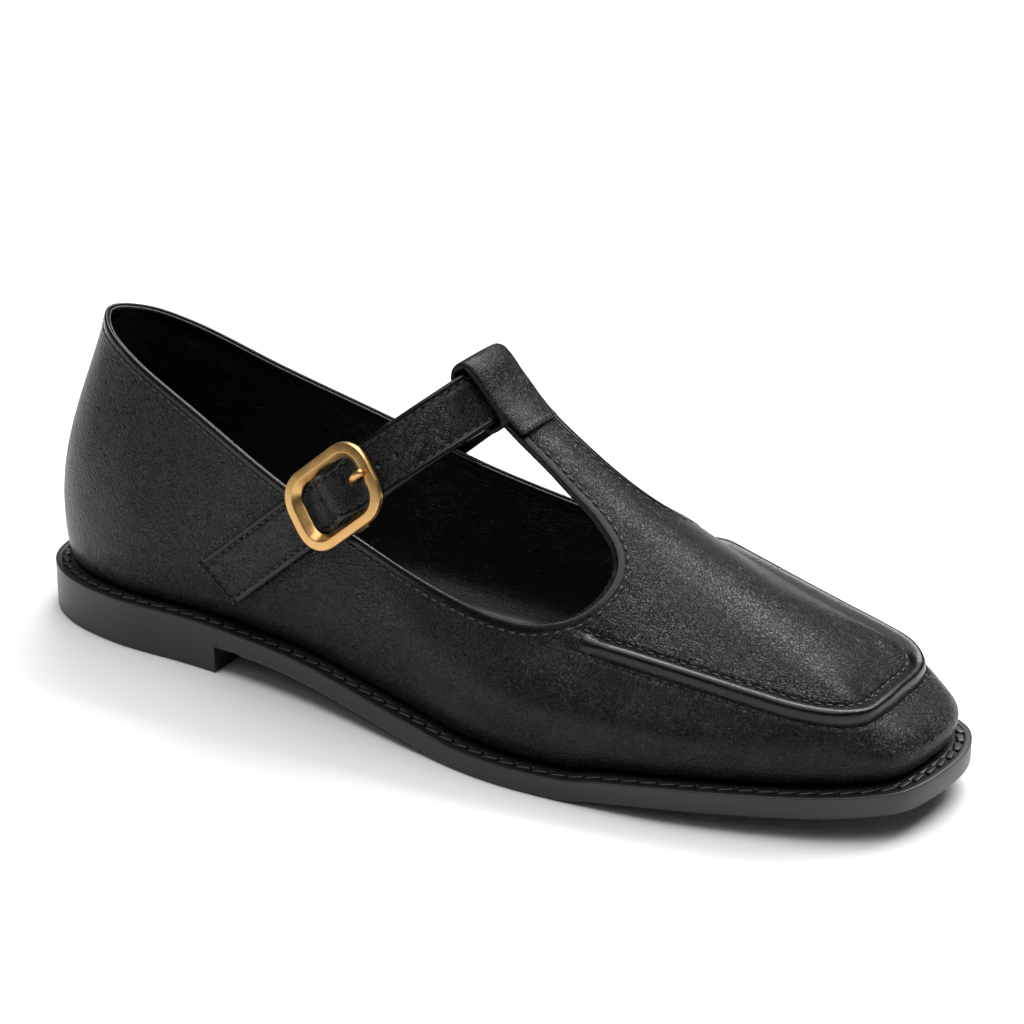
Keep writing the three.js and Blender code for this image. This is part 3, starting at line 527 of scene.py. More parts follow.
# how far in from the edge the stitches lie, their pitch, and each one's length, width, height
STITCH_LINE = 2.95
WELT_PITCH = 4.85
WELT_STITCH = (4.2, 1.75, 1.25)
stitch_path = at_height(inset(sole_loop, STITCH_LINE), seat(along) - 0.3)
upward = np.tile([0.0, 0.0, 1.0], (COUNT, 1))
sewn(
    "welt_stitches",
    [places_along(stitch_path, upward, WELT_PITCH, closed=True)],
    WELT_STITCH,
    "welt",
    turn=0.2,
    squareness=0.55,
    fineness=2,
)

# Insole
# A padded sock over a thin board: flat in the middle, with a soft raised roll round
# its edge that is stitched down on both sides. It fills the floor inside the wall.
WALL = 2.1
INSOLE_TOP = 2.9
# inset from the insole's edge, height from its top
SOCK_SECTION = (
    (0.4, -2.6), (0.0, -2.2), (0.0, -0.6), (0.25, -0.1), (0.8, 0.15), (1.6, 0.05), (2.2, 0.4),
    (3.0, 1.4), (4.4, 2.3), (6.2, 2.4), (8.0, 1.7), (9.2, 0.5), (9.8, -0.1), (10.6, 0.02),
    (12.5, 0.05),
)
# Painted light: the sock's black leather is coloured over ten times lighter than the other black
# leathers, so that it and its roll show with a sheen in the shade inside the shoe.
sock_lightened_finish = finish_of(
    "sock_leather_black", (0.045, 0.045, 0.046), 0.38, Coat_Weight=0.25, Coat_Roughness=0.3
)[0]
board_edge = seat_show(along) + WALL + 0.45
sock_rings = [
    at_height(inset(sole_loop, board_edge + r), seat(along) + INSOLE_TOP + h)
    for r, h in SOCK_SECTION
]
sock_rings += [sock_rings[-1] * (1, share, 1) for share in (0.6, 0.3)]
sock = piece_from(
    "insole_sock",
    np.vstack(sock_rings),
    filled(COUNT, len(sock_rings)),
    [sock_lightened_finish],
    sharp=70,
)
dressed(sock, "lining", "insole")
# inset from the insole's edge, height from its top: a row on each side of the roll
SOCK_SEAMS = ((1.75, 0.1), (9.75, -0.08))
SOCK_PITCH = 3.2
SOCK_STITCH = (2.3, 0.6, 0.45)
sock_rows = []
for reach, rise in SOCK_SEAMS:
    ring = at_height(inset(sole_loop, board_edge + reach), seat(along) + INSOLE_TOP + rise)
    sock_rows.append(places_along(ring, upward, SOCK_PITCH, closed=True))
sewn("insole_stitches", sock_rows, SOCK_STITCH, "lining")

# Upper
# One closed vamp, quarters and T-bar of soft black calf over a lining, 2.1 mm together,
# lasted over a square toe, with a rolled apron seam and a fine crushed grain.
SPINE_BACK = 32.0
SPINE_FRONT = 231.0
BACK_HEIGHT = 84.8
SEAM_WIDTH = 4.8
SEAM_RISE = 2.35
# along, height of the wall's widest place
WALL_SWELL = (
    (0, 29.5), (30, 29), (62, 27.5), (100, 25), (140, 21.5), (170, 20), (225, 20), (245, 19.5),
    (271, 19),
)
# along, bare welt outside the swell on the outer side, on the inner side
SWELL_SHOW = (
    (0, 3.2, 3.2), (15, 3.4, 3.4), (40, 2.8, 2.6), (62, 2.8, 1.8), (90, 3.12, 0.8),
    (120, 3.24, 0.3), (145, 3.22, 1.4), (170, 3.2, 2.6), (200, 3.18, 3.2), (230, 3.2, 3.2),
    (255, 3.4, 3.4), (271, 3.6, 3.6),
)
# along, side, height of the last's middle line
SPINE = (
    (32, -0.5, 104), (60, -0.5, 103), (90, -0.13, 101), (115, 0.14, 98), (135, 0.3, 92.5),
    (145, 0.42, 84), (151, 0.52, 79.2), (161, 0.78, 72.2), (168, 1.01, 67.2), (174, 1.21, 63.3),
    (180, 1.38, 59.8), (185, 1.46, 57), (191, 1.5, 53.8), (200, 1.19, 50), (215, 0.09, 45),
    (225, -0.9, 42.2), (231, -1.5, 40.6),
)
# along, outer and inner half width, outer and inner height: topline, then apron seam
LINE = (
    (22, 9, 8.8, 83, 83), (34, 15.3, 14.4, 78.6, 78.8), (60, 21.2, 19.9, 69, 68.8),
    (90, 27, 25.2, 57.8, 58.7), (121, 31, 28.3, 47.7, 49.4), (145, 34.5, 31.8, 42.2, 43.4),
    (160, 34.8, 33, 39.4, 40.9), (172, 34.2, 33, 37.8, 40.2), (188, 33, 30, 35, 40.6),
    (200, 32.3, 27.5, 33.8, 39.2), (213, 31.2, 25.5, 32.4, 36.8), (227, 30, 23.7, 30.8, 34),
    (240, 28, 22, 29.2, 31.4), (249, 24.6, 19.6, 28.4, 29.6), (254.2, 18.6, 15, 27.8, 28),
    (255.8, 10, 9, 27.8, 27.7),
)
LINE_BACK = (16.5, 0, BACK_HEIGHT)
LINE_FRONT = (256, 0, 27.8)
# along, share of the side's slope that the wall keeps at the line
LEAN = ((15, 0.88), (60, 0.8), (120, 0.75), (160, 0.65), (190, 0.55), (240, 0.5), (260, 0.5))
# along, outer side, inner side: the mouth from the waist round the throat to the T-bar
THROAT = (
    (162, 34.6, 34.2), (168.3, 33.9, 33.3), (174.6, 31.9, 31.6), (179.7, 28.9, 28.5),
    (183, 25.1, 24.9), (184.9, 20, 20.4), (184.4, 15.5, 16.3), (181.7, 12.2, 12.8),
    (177.9, 10.4, 10.9), (172.9, 9, 9.5), (167.1, 8.6, 8.4), (160.4, 8.1, 7.6), (154.2, 8, 7.3),
)
BAR_END = 147.5

swell_outer = curve_of(SWELL_SHOW, 1)
swell_inner = curve_of(SWELL_SHOW, 2)
swell_height = curve_of(WALL_SWELL, 1)
spine_side = curve_of(SPINE, 1)
spine_height = curve_of(SPINE, 2)
lean_share = curve_of(LEAN, 1)
show = np.where(sole_loop[:, 1] < 0, swell_outer(along), swell_inner(along))
swell_loop = inset(sole_loop, show)
foot_loop = inset(sole_loop, seat_show(along))
line_loop = section_loop(LINE_BACK, LINE, LINE_FRONT, 16)


def leave(loop, origin, way):
    """How far a ray in plan goes before it leaves the loop, and the height there."""
    a = loop[:, :2] - origin
    s = np.roll(loop[:, :2], -1, 0) - loop[:, :2]
    cross = way[0] * s[:, 1] - way[1] * s[:, 0]
    cross = np.where(abs(cross) < 1e-12, 1e-12, cross)
    reach = (a[:, 0] * s[:, 1] - a[:, 1] * s[:, 0]) / cross
    part = (a[:, 0] * way[1] - a[:, 1] * way[0]) / cross
    met = (part >= -1e-9) & (part <= 1 + 1e-9) & (reach > 0)
    k = np.where(met)[0][np.argmax(reach[met])]
    if loop.shape[1] < 3:
        return reach[k], 0
    return reach[k], loop[k, 2] * (1 - part[k]) + loop[(k + 1) % len(loop), 2] * part[k]


def poles(a, b, c, d, t):
    """A cubic through four poles, each a distance out and a height."""
    s = 1 - t
    shares = s**3, 3 * t * s * s, 3 * t * t * s, t**3
    return sum(np.outer(w, p) for w, p in zip(shares, (a, b, c, d)))


def wall_column(x, angle, v):
    """Points of one column of the upper: 0 at the seat, 1 swell, 2 line, 3 spine."""
    origin = np.array([x, float(spine_side(x))])
    way = np.array([math.cos(angle), math.sin(angle)])
    foot = leave(foot_loop, origin, way)[0]
    wide = leave(swell_loop, origin, way)[0]
    line, line_z = leave(line_loop, origin, way)
    wide_z = float(swell_height(origin[0] + way[0] * wide))
    foot_z = float(seat(origin[0] + way[0] * foot)) + 0.3
    top_z = float(spine_height(x))
    top_slope = float(spine_height(x, slope=True)) * way[0]
    low = math.atan2(line_z - wide_z, wide - line)
    high = math.atan2(top_z - line_z, line)
    share = float(lean_share(origin[0] + way[0] * line))
    slope = -math.tan(share * low + (1 - share) * high)
    h, e = wide_z - foot_z, wide - foot
    lower = poles(
        (foot, foot_z),
        (foot + 0.55 * e, foot_z + 0.04 * h),
        (wide, wide_z - 0.55 * h),
        (wide, wide_z),
        v[v <= 1],
    )
    h = line_z - wide_z
    k = 0.33 * math.hypot(h, wide - line) / math.hypot(1, slope)
    side = poles(
        (wide, wide_z),
        (wide, wide_z + 0.38 * h),
        (line + k, line_z + k * slope),
        (line, line_z),
        v[(v > 1) & (v <= 2)] - 1,
    )
    q = 3 - v[v > 2]
    rise = 3 * q * q - 2 * q**3
    bend = line * (q * (1 - q) ** 2 * top_slope - q * q * (1 - q) * slope)
    over = np.column_stack([line * q, top_z * (1 - rise) + line_z * rise + bend])
    out = np.vstack([lower, side, over])
    return np.column_stack([origin + np.outer(out[:, 0], way), out[:, 1]])


def round_the_shoe(fan, sides, front):
    """Places and angles of the columns, from the back by the outer side to the toe."""
    run = SPINE_FRONT - SPINE_BACK
    quarter = math.pi / 2
    places = [(SPINE_BACK, math.pi + quarter * k / fan) for k in range(fan)]
    places += [(SPINE_BACK + run * k / sides, -quarter) for k in range(sides)]
    places += [(SPINE_FRONT, -quarter + quarter * k / front) for k in range(2 * front)]
    places += [(SPINE_FRONT - run * k / sides, quarter) for k in range(sides)]
    places += [(SPINE_BACK, quarter + quarter * k / fan) for k in range(fan)]
    return places


FINE = np.linspace(0, 3, 601)


def skin(places, low, side, near, over):
    """Rows of points round the shoe at the same shares of each stretch of the wall.

    low and side are shares below and above the swell, near is millimetres from the line,
    over is shares of what is left up to the middle line."""
    rows = []
    for x, angle in places:
        fine = wall_column(x, angle, FINE)
        gone = gone_along(fine)
        swell, line, top = gone[200], gone[400], gone[600]
        want = np.concatenate(
            [
                swell * low,
                swell + (line + near[0] - swell) * side,
                line + near,
                line + near[-1] + (top - line - near[-1]) * over,
            ]
        )
        rows.append(wall_column(x, angle, np.interp(want, gone, FINE)))
    return np.array(rows)


def facing_of(rows):
    """Unit normals of a grid of points that closes round the shoe and on its middle line."""
    across = np.roll(rows, -1, 0) - np.roll(rows, 1, 0)
    up = np.empty_like(rows)
    up[:, 1:-1] = rows[:, 2:] - rows[:, :-2]
    up[:, 0] = rows[:, 1] - rows[:, 0]
    up[:, -1] = rows[:, -1] - rows[:, -2]
    out = np.cross(across, up)
    size = np.linalg.norm(out, axis=2)
    out /= np.maximum(size, 1e-9)[:, :, None]
    rise = spine_height(rows[:, -1, 0], slope=True)
    out[:, -1] = np.column_stack([-rise, 0 * rise, 1 + 0 * rise])
    out[:, -1] /= np.linalg.norm(out[:, -1], axis=1)[:, None]
    return out


def ease(a, b, x):
    """0 before a, 1 after b, smooth between."""
    t = np.clip((x - a) / (b - a), 0, 1)
    return t * t * (3 - 2 * t)


HEEL_FAN, SIDE_COLUMNS, TOE_FAN = 34, 118, 76
columns = round_the_shoe(HEEL_FAN, SIDE_COLUMNS, TOE_FAN)
LOW_ROWS = np.linspace(0, 1, 9)
SIDE_ROWS = np.linspace(0, 1, 27)[1:]
NEAR_ROWS = np.concatenate([np.arange(-5.2, 7.3, 0.5), [7.9]])
TOP_ROWS = np.linspace(0, 1, 36)[1:]
# The dome over the toe: its middle, its units, and from where along it is fitted.
DOME_MIDDLE = np.array([220, 0, 45])
DOME_UNITS = np.array([25, 20, 1])
DOME_FROM = 188
# It takes over this far inside the seam, and between these places along.
DOME_REACH = 7
DOME_EASE = (194, 212)


def fair_over_toe(rows, first_top):
    """The top of the vamp pulled to one even dome inside the apron seam."""
    top = rows[:, first_top:]
    spread = (top - DOME_MIDDLE) / DOME_UNITS
    fitted = spread[top[..., 0] > DOME_FROM]
    powers = [(i, j) for i in range(5) for j in range(5) if i + j < 5]
    terms = np.column_stack([fitted[:, 0] ** i * fitted[:, 1] ** j for i, j in powers])
    weights = np.linalg.lstsq(terms, fitted[:, 2], rcond=None)[0]
    u, w = spread[..., 0], spread[..., 1]
    dome = DOME_MIDDLE[2] + sum(c * u**i * w**j for c, (i, j) in zip(weights, powers))
    gone = np.linalg.norm(top - top[:, :1], axis=2)
    share = ease(0, DOME_REACH, gone) * ease(*DOME_EASE, top[..., 0])
    out = rows.copy()
    out[:, first_top:, 2] += (dome - top[..., 2]) * share
    return out


outer_rows = skin(columns, LOW_ROWS, SIDE_ROWS[:-1], NEAR_ROWS, TOP_ROWS)
first_near = len(LOW_ROWS) + len(SIDE_ROWS) - 1
first_top = first_near + len(NEAR_ROWS)
outer_rows = fair_over_toe(outer_rows, first_top)
outer_face = facing_of(outer_rows)
from_line = np.full(outer_rows.shape[1], -99.0)
from_line[first_near:first_top] = NEAR_ROWS
x, y, z = np.moveaxis(outer_rows, 2, 0)
# along: where the apron seam rises out of the smooth wall, on the outer and the inner side
SEAM_START_OUTER = (176, 190)
SEAM_START_INNER = (181, 193)
fade = np.where(y < 0, ease(*SEAM_START_OUTER, x), ease(*SEAM_START_INNER, x))
ridge_place = np.clip(from_line / SEAM_WIDTH, 0, 1)
relief = SEAM_RISE * fade * np.sin(math.pi * ridge_place) ** 0.95
# from the line, depth: the stitched groove on each side of the rolled seam
GROOVES = ((-0.45, 0.5), (SEAM_WIDTH + 0.35, 0.45))
GROOVE_WIDTH = 0.55
for where, depth in GROOVES:
    relief = relief - fade * depth * np.exp(-(((from_line - where) / GROOVE_WIDTH) ** 2))

# along, side, height, length, width, rise, run along, run across, run up
CREASES = (
    (176, -36, 33.5, 15, 3.4, -0.55, 1, 0.2, -0.5),
    (184, -31.5, 36, 12, 2.6, -0.5, 1, 0.5, -0.2),
    (190, -27, 38.5, 10, 2.4, -0.4, 1, 0.9, 0.2),
    (168, -38.5, 30, 14, 4, -0.45, 1, 0, -0.9),
    (187, -18, 46, 9, 2.2, -0.35, 1, 0.3, -0.5),
    (118, -33.5, 36, 26, 9, -0.6, 0.6, 0, -1),
    (142, -38.5, 28, 22, 8, 0.5, 0.7, 0, -1),
    (60, -25, 50, 30, 12, -0.5, 0.3, 0, 1),
)


def creased(points):
    """Soft troughs and ridges laid one by one, each fading along its run."""
    out = np.zeros(points.shape[:2])
    for px, py, pz, length, width, rise, rx, ry, rz in CREASES:
        run = np.array([rx, ry, rz], float)
        run /= np.linalg.norm(run)
        away_from = points - (px, py, pz)
        on_run = away_from @ run
        off_run = np.linalg.norm(away_from - on_run[:, :, None] * run, axis=2)
        out += rise * np.exp(-((on_run / length) ** 2) - (off_run / width) ** 2)
    return out


relief = relief + creased(outer_rows) * ease(0.5, 1.5, z - seat(x) - 3)
outer_points = outer_rows + outer_face * relief[:, :, None]

IN_LOW = np.linspace(0, 1, 7)
IN_SIDE = np.linspace(0, 1, 16)[1:]
IN_NEAR = np.array([-2.0, 0.0, 2.4])
IN_TOP = np.linspace(0, 1, 14)[1:]
inner_rows = skin(columns, IN_LOW, IN_SIDE[:-1], IN_NEAR, IN_TOP)
inner_rows = fair_over_toe(inner_rows, len(IN_LOW) + len(IN_SIDE) - 1 + len(IN_NEAR))
inner_face = facing_of(inner_rows)
# The wall is skived thinner from a little under the topline upward.
MOUTH_WALL = 1.6
lay = np.full(inner_rows.shape[1], WALL)
lay[len(IN_LOW) + len(IN_SIDE) - 2 :] = MOUTH_WALL
inner_points = inner_rows - inner_face * lay[None, :, None]
angles = np.array([a for _, a in columns])
inner_points[:, 0] = inner_rows[:, 0] - WALL * np.column_stack(
    [np.cos(angles), np.sin(angles), 0 * angles]
)


# Round the pole of the vamp the wall is smoothed in shrinking circles, in metres, a number
# of rounds each, and only above this height.
POLE_REACHES = np.linspace(0.015, 0.004, 8)
POLE_ROUNDS = 6
POLE_ABOVE = 0.03


def upper_mesh(name, outside, inside):
    """The closed shell between the outer and the inner grid."""
    count = len(columns)
    split = outside.shape[1] - 1
    rings = list(np.moveaxis(outside, 1, 0)) + list(np.moveaxis(inside, 1, 0)[::-1])
    faces = bands(count, len(rings), round_again=True)
    keep = [f for i, f in enumerate(faces) if i // count != split]
    which = []
    for f in keep:
        j, i = divmod(f[0], count)
        rolled = j < split and -0.1 < from_line[j] < SEAM_WIDTH - 0.1 and fade[i, j] > 0.5
        which.append(2 if rolled else 0 if j < split else 1)
    shell = piece_from(name, np.vstack(rings), keep, upper_finishes, which=which)
    work = opened(shell.data)
    # The vamp is pulled fair over the toe, where the columns come together, in metres.
    front, side = (SPINE_FRONT - HEEL_BACK) / 1000, SPINE[-1][1] / 1000
    all_ways = {"use_axis_x": True, "use_axis_y": True, "use_axis_z": True}
    for reach in POLE_REACHES:
        top = [v for v in work.verts if v.co.z > POLE_ABOVE]
        fair = [v for v in top if math.hypot(v.co.x - front, v.co.y - side) < reach]
        for _ in range(POLE_ROUNDS):
            bmesh.ops.smooth_vert(work, verts=fair, factor=0.5, **all_ways)
    put_back(work, shell.data)
    return shell


def top_height(px, py):
    """Height of the upper above a point in plan on the straight part of its middle."""
    side = -math.pi / 2 if py < float(spine_side(px)) else math.pi / 2
    over = wall_column(px, side, np.linspace(2, 3, 81))
    across = abs(over[:, 1] - float(spine_side(px)))
    want = abs(py - float(spine_side(px)))
    return float(np.interp(want, across[::-1], over[::-1, 2]))


def lip(side):
    """The cut edge round one side of the throat, from the waist to the T-bar."""
    rows = [(r[0], -r[1] if side < 0 else r[2]) for r in THROAT]
    return smooth_loop([(a, b, top_height(a, b)) for a, b in rows], 8, closed=False)


back_part = line_loop[line_loop[:, 0] < THROAT[0][0] - 2]
outer_line = back_part[back_part[:, 1] <= 0]
inner_line = back_part[back_part[:, 1] > 0]
corner = [
    (BAR_END, side, top_height(BAR_END, side)) for side in (-THROAT[-1][1], THROAT[-1][2])
]
mouth = np.vstack([outer_line, lip(-1), corner, lip(1)[::-1], inner_line])
# The cutter is a cone from a point low in the shoe, up through the line of the mouth.
APEX = np.array([112, -0.5, 18.0])
CONE_ENDS = (2.5, 120)
rays = (mouth - APEX) / (mouth[:, 2:] - APEX[2])
cutter_points = np.vstack([APEX + rays * end for end in CONE_ENDS])


def cut_away(piece, cutter):
    """A boolean cut, applied to the piece's own mesh."""
    cut = piece.modifiers.new("cut", "BOOLEAN")
    cut.operation = "DIFFERENCE"
    cut.solver = "MANIFOLD"
    cut.object = cutter
    depsgraph = bpy.context.evaluated_depsgraph_get()
    mesh = bpy.data.meshes.new_from_object(piece.evaluated_get(depsgraph))
    piece.modifiers.clear()
    old = piece.data
    piece.data = mesh
    bpy.data.meshes.remove(old)
    bpy.data.objects.remove(cutter)


def product(tree, a, b):
    return node(tree, "ShaderNodeMath", props={"operation": "MULTIPLY"}, _0=a, _1=b)


def grain_tree():
    """Crushed grain: fine wandering creases, and a mask of where and how deep they are."""
    tree, given, out = group_tree(
        "crushed_grain",
        "ShaderNodeTree",
        [("Place", "NodeSocketVector", None), ("Scale", "NodeSocketFloat", 1.0)],
        [("Height", "NodeSocketFloat"), ("Mask", "NodeSocketFloat")],
    )
    vector, maths = "ShaderNodeVectorMath", "ShaderNodeMath"
    scaling = {"operation": "SCALE"}
    size = node(tree, vector, props=scaling, _0=given["Place"], Scale=given["Scale"])
    # A slow noise bends the field, a quicker one is drawn as its own contour lines.
    bend = noise(tree, size, 130.0, 1.0, take="Color")
    bending = {"operation": "MULTIPLY_ADD"}
    pull = node(tree, vector, props=bending, _0=bend, _1=(0.004, 0.004, 0.004), _2=size)
    many = product(tree, noise(tree, pull, 250.0, 1.2, Roughness=0.4), 36.0)
    wave = node(tree, maths, props={"operation": "SINE"}, _0=many)
    lines = ranged(tree, wave, From_Min=-1.0, From_Max=0.1)
    to_edge = {"feature": "DISTANCE_TO_EDGE"}
    cells = node(tree, "ShaderNodeTexVoronoi", props=to_edge, Vector=pull, Scale=640.0)
    cracks = ranged(tree, cells, From_Max=0.1, To_Min=0.45)
    tree.links.new(product(tree, lines, cracks), out.inputs[0])
    strong = ranged(tree, noise(tree, size, 45.0, 2.0), From_Min=0.35, From_Max=0.6, To_Min=0.4)
    # The lasted lower wall is pulled smoother than the rest.
    high = node(tree, "ShaderNodeSeparateXYZ", take="Z", Vector=given["Place"])
    low = ranged(tree, high, From_Min=0.014, From_Max=0.034, To_Min=0.35)
    tree.links.new(product(tree, strong, low), out.inputs[1])
    return tree


GRAIN = grain_tree()
GRAIN_SCALE = 1.8
NEAR_BLACK = (0.003, 0.003, 0.0032)
CALF_BLACK = (0.004, 0.004, 0.0042)


def blended(tree, share, first, second):
    """A colour between two, by a share that changes over the surface."""
    colours = {"_6": (*first, 1), "_7": (*second, 1)}
    rgba = {"data_type": "RGBA"}
    return node(tree, "ShaderNodeMix", props=rgba, take=2, Factor=share, **colours)


def leather(name, colour, roughness, depth, coat, gloss, painted_crest_highlight=0.0):
    """Black calf with the crushed grain, its depth in metres, and a painted highlight that
    lightens the grain's crests.
    """
    m, tree, shader = finish_of(
        name, colour, roughness, Coat_Weight=coat, Coat_Roughness=0.25, Specular_IOR_Level=gloss
    )
    place = node(tree, "ShaderNodeTexCoord", take="Object")
    grain = tree.nodes.new("ShaderNodeGroup")
    grain.node_tree = GRAIN
    tree.links.new(place, grain.inputs["Place"])
    grain.inputs["Scale"].default_value = GRAIN_SCALE
    deep = product(tree, grain.outputs[0], grain.outputs[1])
    fine = noise(tree, place, 900.0, 3.0)
    adding = {"operation": "MULTIPLY_ADD"}
    height = node(tree, "ShaderNodeMath", props=adding, _0=fine, _1=0.25, _2=deep)
    bumped(tree, shader, height, 1.0, depth)
    sheen = noise(tree, place, 30.0, 3.0)
    spread = ranged(tree, sheen, To_Min=roughness - 0.1, To_Max=roughness + 0.1)
    tree.links.new(spread, shader.inputs["Roughness"])
    # Painted highlight: the crests of the grain are coloured lighter than the hollows, standing in
    # for glints of light on the grain.
    highlight_share = ranged(tree, deep, From_Min=0.35, From_Max=0.9)
    painted_highlight_colour = blended(tree, highlight_share, colour, [painted_crest_highlight + c for c in colour])
    tree.links.new(painted_highlight_colour, shader.inputs["Base Color"])
    return m


# The upper's calf gets a painted highlight on its grain crests, 0.018 lighter there.
calf = leather("calf_black", CALF_BLACK, 0.33, 0.0004, coat=0.06, gloss=0.2, painted_crest_highlight=0.018)
edge_calf = leather("calf_turned_edge", NEAR_BLACK, 0.24, 0.00003, coat=0.12, gloss=0.25)
lining_finish = leather("lining_black", NEAR_BLACK, 0.42, 0.0002, coat=0.08, gloss=0.35)
upper_finishes = [calf, lining_finish, edge_calf]
upper = upper_mesh("upper_leather", outer_points, inner_points)
skin_faces = bands(outer_points.shape[1], len(columns), closed=False, round_again=True)
skin_tree = BVHTree.FromPolygons(
    [Vector(p) for p in outer_points.reshape(-1, 3)], [(a, d, c, b) for a, b, c, d in skin_faces]
)
cutter = piece_from("mouth_cutter", cutter_points, drum(len(mouth), 2), [lining_finish])
work = opened(cutter.data)
bmesh.ops.triangulate(work, faces=work.faces)
put_back(work, cutter.data, outward=True)
cut_away(upper, cutter)
finish_mesh(upper.data, 50)
dressed(upper, "upper_leather", "upper")


def on_skin(points):
    """The nearest places on the upper's outside and the way it faces there."""
    spots, ways = [], []
    for p in points:
        spot, way, _, _ = skin_tree.find_nearest(Vector(p))
        way = np.array(way)
        spots.append(np.array(spot))
        ways.append(way if way @ (np.array(spot) - (spot[0], 0, 30)) > 0 else -way)
    return np.array(spots), np.array(ways)


def evened(path, step):
    """The path again with even steps."""
    gone = gone_along(path)
    return read_along(np.linspace(0, gone[-1], round(gone[-1] / step) + 1), gone, path)


def softened(values, times):
    """Neighbours averaged along an open path a number of times."""
    for _ in range(times):
        new = (np.roll(values, 1, 0) + 2 * values + np.roll(values, -1, 0)) / 4
        new[0], new[-1] = values[0], values[-1]
        values = new
    return values


def unit(v):
    return v / np.linalg.norm(v, axis=-1, keepdims=True)


def open_band(count, rings):
    """Faces of a band with a closed section and both ends closed."""
    ends = [tuple(j * count + i for j in range(rings)) for i in (0, count - 1)]
    return bands(count, rings, closed=False, round_again=True) + ends


def swept(path, out_way, section):
    """Points and faces of a band along a path: section holds (out, up) pairs, up being
    square to both the path and the way out."""
    run = unit(np.gradient(path, axis=0))
    out_way = unit(out_way - (out_way * run).sum(1)[:, None] * run)
    up_way = np.cross(out_way, run)
    rings = [path + out_way * a + up_way * b for a, b in section]
    return np.vstack(rings), open_band(len(path), len(section))


# The binding runs from one corner of the T-bar's end round the back to the other.
round_mouth = [corner[1:], lip(1)[::-1], inner_line, outer_line, lip(-1), corner[:1]]
binding_path = softened(evened(np.vstack(round_mouth), 1.2), 2)
binding_out = softened(on_skin(binding_path)[1], 12)
# out from the outside of the wall, up from the cut edge
BINDING_SECTION = (
    (0.14, -1.5), (0.24, -0.7), (0.22, -0.05), (0.04, 0.34), (-0.3, 0.5), (-0.62, 0.4),
    (-0.84, 0.12), (-0.92, -0.1), (-1.04, 0.04), (-1.26, 0.18), (-1.52, 0.08), (-1.7, -0.16),
    (-1.76, -0.9), (-1.78, -2.8), (-1.55, -3.1), (-0.9, -1.8),
)
binding_points, binding_faces = swept(binding_path, binding_out, BINDING_SECTION)
binding = piece_from("topline_binding", binding_points, binding_faces, [edge_calf], sharp=60)
dressed(binding, "upper_leather")
# The upper's fine stitches: length, width and height of each, and their pitch.
UPPER_STITCH = (2.0, 0.62, 0.5)
UPPER_PITCH = 2.9
run = unit(np.gradient(binding_path, axis=0))
down = -np.cross(unit(binding_out), run)
stitch_spots, stitch_out = on_skin(binding_path + down * 2.4)
sewn(
    "topline_stitches",
    [places_along(softened(stitch_spots, 2), stitch_out, UPPER_PITCH)],
    UPPER_STITCH,
    "upper_leather",
)

# One row of stitches lies in each groove beside the rolled apron seam.
seam_rows = []
for reach in (-0.5, SEAM_WIDTH + 0.4):
    j = first_near + int(np.argmin(abs(NEAR_ROWS - reach)))
    keep = np.where((fade[:, j] > 0.25) & (x[:, j] > 180))[0]
    gap = int(np.argmax(np.diff(keep))) if np.max(np.diff(keep)) > 1 else -1
    keep = np.roll(keep, -(gap + 1))
    line = outer_points[keep, j]
    seam_rows.append(places_along(line, outer_face[keep, j], UPPER_PITCH))
sewn("apron_stitches", seam_rows, UPPER_STITCH, "upper_leather")

# Strap
# One 15 mm instep strap with turned edges, sewn to the inner quarter, drawn through the
# loop and the buckle, its cut end lying free on the outer quarter; round holes punched.
STRAP_WIDTH = 15.0
STRAP_THICK = 2.4
END_SLANT = 3.2
# The strap's sloping plane: where it starts, its way up the instep, and square to that.
PATH_START = np.array([112.0, 0.0, 61.0])
PATH_RUN = np.array([0.758, 0.0, 0.652])
PATH_RISE = np.array([-0.652, 0.0, 0.758])
# reach up the instep, side, lean of the width
STRAP = (
    (-55, -29.9, 0.02), (-42, -30.1, 0.08), (-30, -30.5, 0.12), (-20, -30.7, 0.16),
    (-12, -30.6, 0.19), (-6, -30.9, 0.2), (0, -31.8, 0.2), (6, -30.9, 0.2), (12, -30.5, 0.2),
    (20, -27.4, 0.16), (28, -21, 0.1), (33.5, -14, 0.04), (36.9, -8, 0), (38, -0.4, 0),
    (36.9, 8, 0), (33, 15, -0.04), (27, 21.5, -0.1), (18, 26.0, -0.12), (8, 28.0, -0.14),
    (-2, 28.5, -0.14), (-12, 28.45, -0.12), (-22, 28.55, -0.1), (-30, 28.3, -0.08),
)
# reach of the holes' middles, side of the middle line in millimetres
STRAP_HOLES = ((-3.8, 0.8), (15.0, -0.4), (19.8, -0.6))
STEPS = 16


def on_run(reach, side):
    """A point of the strap's sloping plane."""
    return PATH_START + PATH_RUN * reach + np.array([0, side, 0])


strap_path = smooth_loop([on_run(r[0], r[1]) for r in STRAP], STEPS, closed=False)
strap_lean = np.interp(
    np.arange(len(strap_path)) / STEPS, np.arange(len(STRAP)), [r[2] for r in STRAP]
)
# Fine steps near the cut end, where the turned edge runs across it too.
path_gone = gone_along(strap_path)
gone_by = np.concatenate([np.arange(0, 5, 0.25), np.arange(5, path_gone[-1], 0.7)])
strap_lean = np.interp(gone_by, path_gone, strap_lean)
strap_path = read_along(gone_by, path_gone, strap_path)
strap_wide = unit(PATH_RISE + strap_lean[:, None] * (0, 1, 0))
strap_run = unit(softened(np.gradient(strap_path, gone_by, axis=0), 6))
strap_out = unit(np.cross(strap_run, strap_wide))
slant = END_SLANT * np.clip(1 - gone_by / 14, 0, 1)
